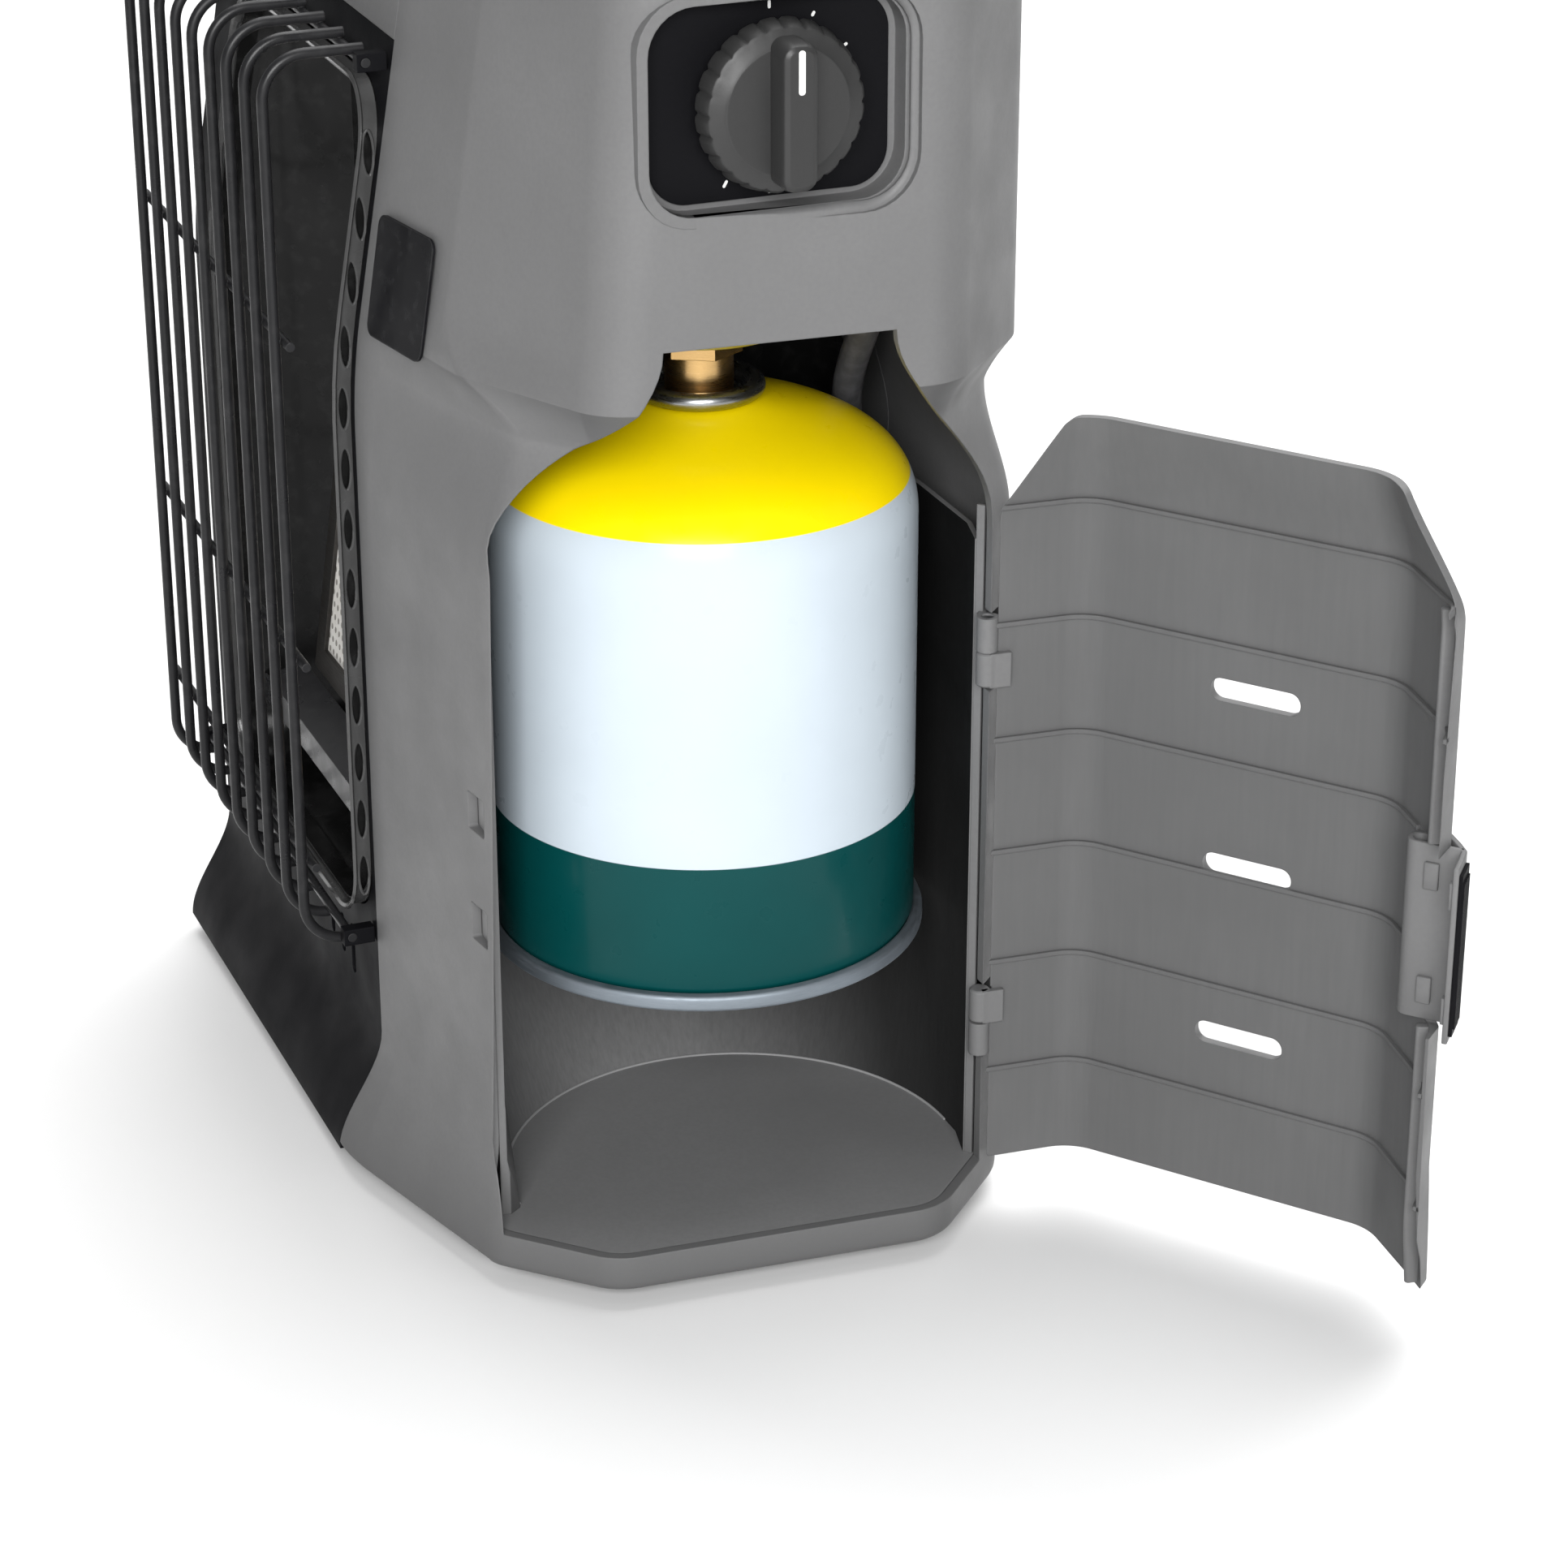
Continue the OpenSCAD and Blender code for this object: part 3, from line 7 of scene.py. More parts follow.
import json
from math import acos, atan2, cos, degrees, pi, radians, sin, sqrt, tan

import bmesh
import bpy
from mathutils import Matrix, Vector


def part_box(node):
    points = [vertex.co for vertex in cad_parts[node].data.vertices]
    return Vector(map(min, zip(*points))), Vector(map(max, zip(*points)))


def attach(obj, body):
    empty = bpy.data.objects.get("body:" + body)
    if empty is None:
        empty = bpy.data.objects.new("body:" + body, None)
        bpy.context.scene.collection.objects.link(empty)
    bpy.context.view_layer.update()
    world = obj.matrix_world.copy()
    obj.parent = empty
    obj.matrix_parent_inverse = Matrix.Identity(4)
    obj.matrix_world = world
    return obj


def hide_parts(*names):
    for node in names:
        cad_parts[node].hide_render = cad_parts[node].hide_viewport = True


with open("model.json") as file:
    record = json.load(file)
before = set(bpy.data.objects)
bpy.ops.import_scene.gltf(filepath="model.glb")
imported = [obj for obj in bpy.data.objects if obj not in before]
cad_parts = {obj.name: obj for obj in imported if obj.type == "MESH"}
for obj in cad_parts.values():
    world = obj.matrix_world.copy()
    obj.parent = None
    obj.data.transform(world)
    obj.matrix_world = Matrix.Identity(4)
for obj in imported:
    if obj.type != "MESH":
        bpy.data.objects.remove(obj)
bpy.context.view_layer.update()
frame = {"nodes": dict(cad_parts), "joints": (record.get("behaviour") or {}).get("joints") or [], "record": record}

MM = 0.001
nodes = frame["nodes"]
hinge_joint = next(joint for joint in frame["joints"] if joint["name"] == "door_hinge")
cart_low, cart_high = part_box("cartridge_body")
axis_place = (cart_low + cart_high) / 2

# Casing, the same driving sizes as the solids
foot_h = 5
head_top = 352
near_x = 61
far_x = 200
front_d = 76
rear_d = 70.5
wall = 2.6
toe_flare = 13
toe_h = 33
lean_slope = 0.17
lean_z = 205
lean_blend = 30
waist_d = 6.5
waist_z = 224
top_r = 14
bottom_r = 3
cap_z = 337
near_half = 43
mid_y = -3
arc_points = 14
# Height up to which the casing grey darkens towards the floor
low_dark_top = 30
near_skew = 6
cheek_x = 34
cheek_in = 9
bend_x = 33
split_x = 40
seam = 0.3
corner_r = [14, 60, 14, 16, 16, 22, 26]
waist_start = waist_z - 34
waist_end = waist_z + 12
head_slide = 31
head_rise = 22
waist_move = [(0, 0), (0, 0), (-0.7, 1.3), (-1.1, 0.8), (-1, -0.4), (-0.4, -1), (0, -1)]

# Door and its opening
door_z = 16
door_top = 219
door_shoulder = 195
door_top_half = 44
mouth_front = 66
mouth_slant = 2
mouth_rear = 58.5
mouth_x = cheek_x - 8
neck_half = 28
neck_z = 250.5
door_t = 2.4
door_gap = 0.8
door_corner_r = [2, 1, 8, 4, 4, 8]
barrel_d = 5.4
hinge_low = 56
hinge_high = 158
barrel_h = 9
vent_w = 24
vent_h = 6
vent_z = 59
vent_pitch = 47
vent_shift = 4
rib_t = 0.9
rib_w = 1.2
rib_n = 6
rib_first = 42
rib_pitch = 30.8
latch_h = 46
latch_z = 112
latch_travel = 1.5
latch_wall = 1.4
tab_pitch = 30
tab_places = (latch_z - tab_pitch / 2, latch_z + tab_pitch / 2)

# Cartridge and compartment
cart_d = 108
cart_z = 77
cart_side_h = 119
cart_h = 145.6
rim_stand = 2.3
ring_d = 28
bead_d = 4.5
neck_d = 11
bay_r = 59.4
bay_t = 1.5
bay_shift = 26
bay_upright_z = 70
bay_top = 186
bay_arc = 60
floor_top = foot_h + 10

# Burner, dish and controls
dish_near = 44
dish_w = 118
dish_z = 68
dish_h = 222
dish_d = 34
rim_d = 8
rim_out = 4
rim_pitch = 16
rim_hole = 11
recess_w = 62
recess_h = 48
recess_z = 281.5
recess_d = 8
knob_d = 40
knob_h = 15
shaft_d = 8
push_travel = 4
recess_x = near_x - recess_d
knob_x = recess_x + push_travel + 1.5
valve_z = recess_z + recess_h / 2
panel_far = far_x - 6
panel_top = dish_z + dish_h + 12
panel_t = 2.4
vent_slots = [(25, 10, 24.5), (34.5, 11, 22.5), (44, 13.5, 21)]
slot_w = 3.4
pocket_w = 8.8
pocket_x = cheek_x - 9.6
rim_face = 4.2
rear_x = 121
rear_z = 112
rear_w = 120
rear_h = 140
back_slot_n = 4
back_slot_w = 80
back_slot_h = 3.6
back_slot_z = 262
back_slot_pitch = 9
louvre_n = 12
louvre_w = 82
louvre_r = 1.9
louvre_first = rear_z - 45.1
louvre_pitch = 8.5
burner_x = -dish_near - dish_w / 2
hole_end = 14
hole_n = int((dish_h - 2 * hole_end) / rim_pitch) + 1
hole_places = [dish_z + hole_end + rim_pitch * i for i in range(hole_n)]
grip_d = 19
handle_wire = 6
yellow_z = 198.4
green_z = 114.7
print_edge = 0.2
flame_pitch = 3.2

# Reach of the blocks that cut one part of the casing off, and of openings past its skin
reach = 160
past_x = 60
past_z = 40
past_cut = 20


def put(x, y, z):
    """A point in millimetres about the cartridge axis, in metres in the row frame."""
    return Vector((axis_place.x + x * MM, axis_place.y + y * MM, z * MM))


def taken_back(place):
    """A point of the row frame, in millimetres about the cartridge axis."""
    return (Vector(place) - put(0, 0, 0)) / MM


hinge = taken_back(hinge_joint["pos_m"]).xy


# Plan of the casing

def smooth(t):
    u = max(0.0, min(1.0, t))
    return u * u * (3 - 2 * u)


def steps(a, b, n):
    """n values from just after a up to b."""
    return [a + (b - a) * i / n for i in range(1, n + 1)]


def on_circle(cx, cy, r, turn):
    a = radians(turn)
    return cx + r * cos(a), cy + r * sin(a)


def at_height(flat, z):
    return [(x, y, z) for x, y in flat]


def flare(z):
    return toe_flare * (1 - smooth((z - foot_h) / toe_h))


def lean(z):
    if z < lean_z:
        return 0.0
    if z < lean_z + lean_blend:
        return lean_slope * (z - lean_z) ** 2 / (2 * lean_blend)
    return lean_slope * (z - lean_z - lean_blend / 2)


def waist(z):
    if z < waist_z:
        return waist_d * smooth((z - waist_start) / (waist_z - waist_start))
    rise = min(1.0, (z - waist_z) / (waist_end - waist_z))
    return waist_d * (1 - rise ** 1.4)


def front_y(z):
    return -front_d - flare(z) + lean(z)


def head_in(z):
    return 4 * smooth((z - waist_z) / 30)


def edge_in(z):
    """Inset of the outline near the rounded top and bottom edges."""
    if z > head_top - top_r:
        return top_r - sqrt(max(0, top_r ** 2 - (z - head_top + top_r) ** 2))
    if z < foot_h + bottom_r:
        return bottom_r - sqrt(max(0, bottom_r ** 2 - (foot_h + bottom_r - z) ** 2))
    return 0.0


def plan_corners(z):
    cheek_y = -front_d + cheek_in + lean(z) * 0.8 + head_in(z) - flare(z) * 0.25
    slide = head_slide * smooth((z - waist_z) / head_rise)
    back = (cheek_y - front_y(z)) * slide / (cheek_x + bend_x)
    near_front = mid_y - near_half + lean(z) * 0.4
    return [(-far_x, front_y(z)), (-bend_x, front_y(z)), (cheek_x - slide, cheek_y - back),
            (near_x - near_skew / 2, near_front), (near_x + near_skew / 2, mid_y + near_half),
            (cheek_x, rear_d), (-far_x, rear_d)]


def left_of(v):
    return Vector((-v.y, v.x))


def outline(z, inset):
    """Rounded outline of the casing at a height, moved in by a distance."""
    w = waist(z)
    p = [Vector(c) + w * Vector(m) for c, m in zip(plan_corners(z), waist_move)]
    n = len(p)
    dirs = [(p[(i + 1) % n] - p[i]).normalized() for i in range(n)]
    gap = inset + edge_in(z)
    points = []
    for i in range(n):
        d0, d1 = dirs[i - 1], dirs[i]
        n0, n1 = left_of(d0), left_of(d1)
        q = p[i] + (n0 + n1) * gap / (1 + n0.dot(n1))
        turn = acos(max(-1, min(1, d0.dot(d1))))
        r = max(1.5, corner_r[i] - inset - edge_in(z) * 0.4)
        centre = q - d0 * r * tan(turn / 2) + n0 * r
        a0 = atan2(-n0.y, -n0.x)
        for k in range(arc_points):
            a = a0 + turn * k / (arc_points - 1)
            points.append((centre.x + r * cos(a), centre.y + r * sin(a)))
    return points


# Plain mesh shapes, each as (points, faces)

def quads(count, n, closed=False):
    """Faces between count rings of n points each; closed joins the last ring to the first."""
    faces = []
    for j in range(count if closed else count - 1):
        a, b = j * n, (j + 1) % count * n
        faces += [(a + i, a + (i + 1) % n, b + (i + 1) % n, b + i) for i in range(n)]
    return faces


def end_caps(count, n):
    """The faces that close the first and the last ring."""
    return [tuple(reversed(range(n))), tuple(range((count - 1) * n, count * n))]


def ring_loft(rings):
    count, n = len(rings), len(rings[0])
    first, last = end_caps(count, n)
    return [p for ring in rings for p in ring], [first] + quads(count, n) + [last]


def prism(flat, low, high, along="z"):
    """A prism over a flat outline; the outline holds (y, z), (x, z) or (x, y) pairs."""
    lift = {
        "x": lambda u, v, t: (t, u, v),
        "y": lambda u, v, t: (u, t, v),
        "z": lambda u, v, t: (u, v, t),
    }[along]
    return ring_loft([[lift(u, v, t) for u, v in flat] for t in (low, high)])


def slab(x0, x1, y0, y1, z0, z1):
    return prism([(x0, y0), (x1, y0), (x1, y1), (x0, y1)], z0, z1)


def round_rect(w, h, r, cx=0.0, cy=0.0, arc_n=8):
    points = []
    for k, (sx, sy) in enumerate(((1, -1), (1, 1), (-1, 1), (-1, -1))):
        for i in range(arc_n + 1):
            turn = -90 + 90 * k + 90 * i / arc_n
            points.append(on_circle(cx + sx * (w / 2 - r), cy + sy * (h / 2 - r), r, turn))
    return points


def revolve(profile, n=96):
    """A solid of revolution about Z; the profile holds (radius, height) pairs and closes on itself."""
    points = []
    for i in range(n):
        a = 2 * pi * i / n
        points += [(r * cos(a), r * sin(a), z) for r, z in profile]
    return points, quads(n, len(profile), True)


def arc(cx, cy, r, a0, a1, n):
    return [on_circle(cx, cy, r, a0 + (a1 - a0) * i / n) for i in range(n + 1)]


def circle(cx, cy, r, n):
    return [on_circle(cx, cy, r, 360 * i / n) for i in range(n)]


def tube(path, r, n=12, closed=False):
    """A round tube along a path of points."""
    path = [Vector(p) for p in path]
    m = len(path)
    points = []
    side = None
    for i in range(m):
        ahead = path[(i + 1) % m] if closed or i < m - 1 else path[i]
        back = path[i - 1] if closed or i > 0 else path[i]
        t = (ahead - back).normalized()
        if side is None:
            side = t.orthogonal().normalized()
        side = (side - t * side.dot(t)).normalized()
        up = t.cross(side)
        points += [path[i] + r * (cos(2 * pi * k / n) * side + sin(2 * pi * k / n) * up)
                   for k in range(n)]
    return points, quads(m, n, closed) + ([] if closed else end_caps(m, n))


def joined(*shapes):
    points, faces = [], []
    for p, f in shapes:
        faces += [tuple(i + len(points) for i in face) for face in f]
        points += list(p)
    return points, faces


def moved(shape, matrix):
    points, faces = shape
    return [matrix @ Vector(p) for p in points], faces


def stadium(p0, p1, t):
    """A flat bar between two points with round ends."""
    a = degrees(atan2(p1[1] - p0[1], p1[0] - p0[0]))
    return arc(*p1, t / 2, a - 90, a + 90, 6) + arc(*p0, t / 2, a + 90, a + 270, 6)


# Objects from the shapes

scene = bpy.context.scene


def add(name, data):
    obj = bpy.data.objects.new(name, data)
    scene.collection.objects.link(obj)
    return obj


def new_object(name, shape):
    points, faces = shape
    mesh = bpy.data.meshes.new(name)
    mesh.from_pydata([put(*p) for p in points], [], faces)
    tidy = bmesh.new()
    tidy.from_mesh(mesh)
    bmesh.ops.remove_doubles(tidy, verts=tidy.verts, dist=1e-6)
    bmesh.ops.recalc_face_normals(tidy, faces=tidy.faces)
    tidy.to_mesh(mesh)
    tidy.free()
    return add(name, mesh)


def bake(obj):
    """Turns the modifiers into mesh."""
    depsgraph = bpy.context.evaluated_depsgraph_get()
    mesh = bpy.data.meshes.new_from_object(obj.evaluated_get(depsgraph))
    obj.modifiers.clear()
    obj.data = mesh


def combine(obj, shapes, operation="DIFFERENCE"):
    """Cuts the shapes out of an object, or keeps only what lies inside them."""
    tools = [new_object("tool", shape) for shape in shapes]
    for tool in tools:
        step = obj.modifiers.new("step", "BOOLEAN")
        step.operation = operation
        step.object = tool
        step.solver = "MANIFOLD"
    bake(obj)
    for tool in tools:
        bpy.data.objects.remove(tool)


def finish_piece(obj, material, body, slot, replaced=(), angle=30, bevel=0.0):
    """Gives a piece its shading, material and body; the slot argument is not used."""
    if bevel:
        edge = obj.modifiers.new("edges", "BEVEL")
        edge.width = bevel * MM
        edge.segments = 2
        edge.limit_method = "ANGLE"
        edge.angle_limit = radians(38)
        bake(obj)
    obj.data.shade_smooth()
    obj.data.set_sharp_from_angle(angle=radians(angle))
    obj.data.materials.clear()
    obj.data.materials.append(material)
    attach(obj, body)
    if replaced:
        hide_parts(*replaced)


# Materials

class Paint:
    """A material with its shader and the object's own coordinates at hand."""

    def __init__(self, name, roughness=0.5, metallic=0.0):
        self.material = bpy.data.materials.new(name)
        self.material.use_nodes = True
        self.tree = self.material.node_tree
        self.shader = self.tree.nodes["Principled BSDF"]
        self.input("Roughness", roughness)
        self.input("Metallic", metallic)
        self.coords = self.node("TexCoord", {}).outputs["Object"]

    def input(self, name, value):
        self.feed(self.shader.inputs[name], value)

    def feed(self, socket, value):
        """An input takes a plain value, or the output of another node."""
        if isinstance(value, bpy.types.NodeSocket):
            self.tree.links.new(value, socket)
        else:
            socket.default_value = value

    def node(self, kind, inputs, **settings):
        made = self.tree.nodes.new("ShaderNode" + kind)
        for key, value in settings.items():
            setattr(made, key, value)
        for key, value in inputs.items():
            self.feed(made.inputs[key], value)
        return made

    def math(self, operation, a, b=0.0):
        return self.node("Math", {0: a, 1: b}, operation=operation).outputs[0]

    def times(self, a, b):
        return self.math("MULTIPLY", a, b)

    def noise(self, scale, detail=3.0, stretch=(1, 1, 1), roughness=0.5):
        """Noise with a size in cells per metre, stretched along the axes."""
        place = self.node("Mapping", {"Vector": self.coords, "Scale": stretch}).outputs[0]
        values = {"Vector": place, "Scale": scale, "Detail": detail, "Roughness": roughness}
        return self.node("TexNoise", values).outputs["Fac"]

    def cloud(self, scale, detail, low, high, out_low=0.0, out_high=1.0):
        """Noise spread over a range of values."""
        return self.ramp(self.noise(scale, detail), low, high, out_low, out_high)

    def axes(self, source=None):
        """The three parts of a direction or, without one, of the object's coordinates."""
        return self.node("SeparateXYZ", {0: source or self.coords}).outputs

    def facing(self):
        return self.node("NewGeometry", {}).outputs["Normal"]

    def ramp(self, value, low, high, out_low, out_high):
        values = {"Value": value, "From Min": low, "From Max": high, "To Min": out_low, "To Max": out_high}
        return self.node("MapRange", values).outputs["Result"]

    def mix(self, factor, a, b):
        a, b = [(*c, 1) if isinstance(c, tuple) else c for c in (a, b)]
        return self.node("Mix", {0: factor, 6: a, 7: b}, data_type="RGBA").outputs[2]

    def rounded(self, radius):
        """The surface direction with small rounded edges, radius in millimetres."""
        return self.node("Bevel", {"Radius": radius * MM}, samples=4).outputs["Normal"]

    def edges(self, rounded_normal):
        """1 on sharp edges and 0 elsewhere."""
        dot = self.node("VectorMath", {0: rounded_normal, 1: self.facing()}, operation="DOT_PRODUCT")
        return self.ramp(self.math("SUBTRACT", 1.0, dot.outputs["Value"]), 0.02, 0.22, 0.0, 1.0)

    def bump(self, height, depth, rounded_normal, strength):
        values = {"Distance": depth * MM, "Strength": strength, "Height": height}
        if rounded_normal is not None:
            values["Normal"] = rounded_normal
        self.input("Normal", self.node("Bump", values).outputs["Normal"])

    def colour(self, socket):
        self.input("Base Color", socket)

    def rough(self, socket):
        self.input("Roughness", socket)


def shade(colour, factor):
    return tuple(min(1.0, c * factor) for c in colour)


def moulded(name, colour, rough_low, rough_high, grain=1400, depth=0.03, worn=1.35, specular=0.4, streak=1,
            low_and_under_darkening=1.0):
    """Moulded plastic: eroded grain, cloudy tint, lighter rubbed edges, darker towards the floor, and painted
    shade on faces that look down.
    """
    paint = Paint(name)
    paint.input("Specular IOR Level", specular)
    normal = paint.rounded(0.5)
    base = paint.mix(paint.cloud(18, 4, 0.3, 0.7), shade(colour, 0.93), shade(colour, 1.07))
    speck = paint.ramp(paint.noise(grain * 0.6, 2, (1, 1, 1 / streak)), 0.35, 0.7, 0, 0.35)
    base = paint.mix(speck, base, shade(colour, 0.86))
    if low_and_under_darkening < 1:
        # Darker towards the floor.
        undarkened = paint.ramp(paint.axes()["Z"], foot_h * MM, low_dark_top * MM, 0.0, 1.0)
        base = paint.mix(undarkened, shade(colour, low_and_under_darkening), base)
        # Painted shade: faces that look down take the darker tone.
        upward = paint.ramp(paint.axes(paint.facing())["Z"], -0.45, -0.02, 0.0, 1.0)
        base = paint.mix(upward, shade(colour, low_and_under_darkening), base)
    rub = paint.times(paint.edges(normal), paint.cloud(160, 5, 0.35, 0.65, 0.25))
    paint.colour(paint.mix(paint.times(rub, 0.55), base, shade(colour, worn)))
    paint.rough(paint.cloud(60, 5, 0.3, 0.7, rough_low, rough_high))
    paint.bump(paint.noise(grain, 3, (1, 1, 1 / streak), 0.6), depth, normal, 0.6)
    return paint.material


def metal(name, colour, rough_low, rough_high, brush=(1, 1, 12), scale=220, depth=0.01, dull=0.8):
    """Metal with fine drawn marks, uneven dulling and brighter edges."""
    paint = Paint(name, metallic=1.0)
    normal = paint.rounded(0.3)
    marks = paint.noise(scale, 6, brush, 0.65)
    base = paint.mix(paint.cloud(35, 4, 0.35, 0.7), shade(colour, dull), colour)
    paint.colour(paint.mix(paint.edges(normal), base, shade(colour, 1.25)))
    paint.rough(paint.ramp(marks, 0.25, 0.75, rough_low, rough_high))
    paint.bump(marks, depth, normal, 0.5)
    return paint.material


def enamel(name, colour, roughness, coat=0.0, edge=0.4, ripple=0.02, specular=0.3):
    """Glossy enamel or paint: slight ripple, dust and worn edges."""
    paint = Paint(name)
    paint.input("Specular IOR Level", specular)
    paint.input("Coat Weight", coat)
    paint.input("Coat Roughness", 0.06)
    normal = paint.rounded(edge)
    dust = paint.cloud(240, 6, 0.5, 0.8, 0, 0.25)
    base = paint.mix(dust, colour, shade(tuple(c + 0.03 for c in colour), 1.2))
    paint.colour(paint.mix(paint.times(paint.edges(normal), 0.3), base, (0.12, 0.12, 0.12)))
    paint.rough(paint.cloud(90, 5, 0.3, 0.75, roughness * 0.7, roughness * 1.5))
    paint.bump(paint.noise(45, 3), ripple, normal, 0.4)
    return paint.material


def rubber(name, colour, roughness, depth=0.04):
    paint = Paint(name)
    paint.colour(paint.mix(paint.cloud(300, 5, 0.4, 0.75), colour, shade(colour, 1.7)))
    paint.rough(paint.cloud(120, 4, 0.3, 0.7, roughness * 0.85, min(1, roughness * 1.2)))
    paint.bump(paint.noise(900, 3), depth, paint.rounded(0.4), 0.5)
    return paint.material


def cartridge_print():
    """Printed tinplate in plain bands, under clear lacquer."""
    paint = Paint("cartridge_print", roughness=0.22)
    paint.input("Coat Weight", 0.08)
    paint.input("Coat Roughness", 0.12)
    paint.input("Specular IOR Level", 0.12)
    height = paint.axes()["Z"]
    yellow, white, green = (0.93, 0.70, 0.001), (0.50, 0.565, 0.62), (0.0005, 0.045, 0.045)
    tone = paint.cloud(30, 4, 0.3, 0.7)
    upper = paint.mix(tone, yellow, shade(yellow, 0.94))
    middle = paint.mix(tone, white, shade(white, 0.95))
    lower = paint.mix(tone, green, shade(green, 1.12))
    over = paint.ramp(height, yellow_z * MM, (yellow_z + print_edge) * MM, 0, 1)
    under = paint.ramp(height, green_z * MM, (green_z + print_edge) * MM, 1, 0)
    paint.colour(paint.mix(under, paint.mix(over, middle, upper), lower))
    paint.rough(paint.cloud(150, 5, 0.3, 0.7, 0.26, 0.4))
    paint.bump(paint.noise(25, 3), 0.02, None, 0.3)
    return paint.material


def burner_ceramic():
    """Pale porous tile with rows of small flame holes, each painted dark as painted shade inside the hole."""
    paint = Paint("burner_ceramic", roughness=0.9)
    pitch = flame_pitch * MM
    place = paint.axes()
    row = paint.math("DIVIDE", place["Z"], pitch)
    shift = paint.times(paint.math("FLOORED_MODULO", paint.math("FLOOR", row), 2.0), 0.5)
    column = paint.math("ADD", paint.math("DIVIDE", place["X"], pitch), shift)
    u = paint.math("SUBTRACT", paint.math("FRACT", column), 0.5)
    v = paint.math("SUBTRACT", paint.math("FRACT", row), 0.5)
    radius = paint.math("SQRT", paint.math("ADD", paint.times(u, u), paint.times(v, v)))
    hole = paint.ramp(radius, 0.2, 0.28, 1, 0)
    base = paint.mix(paint.cloud(60, 5, 0.35, 0.7), (0.90, 0.88, 0.84), (0.82, 0.79, 0.73))
    # Painted shade: the flame holes take a dark colour.
    paint.colour(paint.mix(hole, base, (0.34, 0.32, 0.29)))
    grit = paint.times(paint.noise(1500, 3), 0.15)
    paint.bump(paint.math("SUBTRACT", grit, hole), 0.5, None, 0.8)
    return paint.material


def pale(name, roughness, light, dark, scale):
    """White glaze or marking paint with faint clouds."""
    paint = Paint(name, roughness)
    paint.colour(paint.mix(paint.cloud(scale, 4, 0.4, 0.7), light, dark))
    paint.bump(paint.noise(scale * 2, 3), 0.02, None, 0.4)
    return paint.material


grey = (0.135, 0.135, 0.136)
finishes = {
    # The casing grey darkens towards the floor and takes painted shade on faces that look down.
    "casing_grey": moulded("grey_moulding", grey, 0.42, 0.6, low_and_under_darkening=0.66),
    "casing_black": moulded("black_moulding", (0.006, 0.006, 0.007), 0.42, 0.58, worn=2.6, specular=0.04),
    "gloss_black": enamel("badge_gloss", (0.006, 0.006, 0.007), 0.2, edge=0.6, specular=0.06),
    "knob_black": moulded("knob_moulding", (0.022, 0.022, 0.022), 0.38, 0.55, grain=1800, worn=2.0),
    "foot_rubber": rubber("foot_rubber", (0.16, 0.16, 0.16), 0.7),
    "seal_rubber": rubber("seal_rubber", (0.015, 0.015, 0.015), 0.6),
    "tube_rubber": rubber("tube_rubber", (0.10, 0.10, 0.105), 0.34, 0.02),
    "zinc_steel": metal("zinc_plate", (0.56, 0.56, 0.57), 0.25, 0.45),
    "burner_steel": metal("burner_steel", (0.42, 0.40, 0.37), 0.35, 0.6, dull=0.6),
    "bright_steel": metal("bright_steel", (0.52, 0.53, 0.55), 0.16, 0.34, scale=120),
    "black_sheet": enamel("black_enamel", (0.006, 0.006, 0.006), 0.22, coat=0.04, specular=0.18),
    "guard_paint": enamel("guard_paint", (0.012, 0.012, 0.013), 0.34, ripple=0.01, specular=0.25),
    "brass": metal("turned_brass", (0.62, 0.40, 0.17), 0.24, 0.34, brush=(1, 1, 30), depth=0.003, dull=0.8),
    "cartridge_paint": cartridge_print(),
    "ceramic": burner_ceramic(),
}
slots = {part["node"]: part["material_slot"] for part in frame["record"]["subparts"]}
tinned = metal("tinned_seam", (0.30, 0.34, 0.38), 0.5, 0.7, dull=0.8)
raw_moulding = moulded("raw_moulding", shade(grey, 0.8), 0.6, 0.8, grain=900, depth=0.07, specular=0.2,
                       streak=14)
# Painted light: a lighter copy of the casing grey for the compartment floor.
lit_floor_grey = moulded("floor_moulding", shade(grey, 1.25), 0.4, 0.55)
# Painted highlight: a much lighter copy of the casing grey, for the seam bead and the backs of the latch pockets.
highlight_grey = moulded("highlight_grey", shade(grey, 1.9), 0.4, 0.55)
# Painted highlight: a lighter, glossier black for the rim's front band and the beads round its holes.
rim_lit_enamel = enamel("rim_lit_enamel", (0.045, 0.045, 0.045), 0.22, coat=0.3, specular=0.4)
frame_steel = metal("heat_darkened_frame", (0.10, 0.095, 0.09), 0.45, 0.65, dull=0.6)
ring_steel = metal("ring_steel", (0.34, 0.35, 0.36), 0.2, 0.4, dull=0.85)
glaze = pale("igniter_ceramic", 0.3, (0.8, 0.79, 0.75), (0.6, 0.57, 0.5), 200)
mark_paint = pale("mark_paint", 0.5, (0.75, 0.75, 0.74), (0.6, 0.6, 0.59), 500)
tray_gloss = enamel("tray_gloss", (0.03, 0.03, 0.032), 0.3, coat=0.1, specular=0.45)


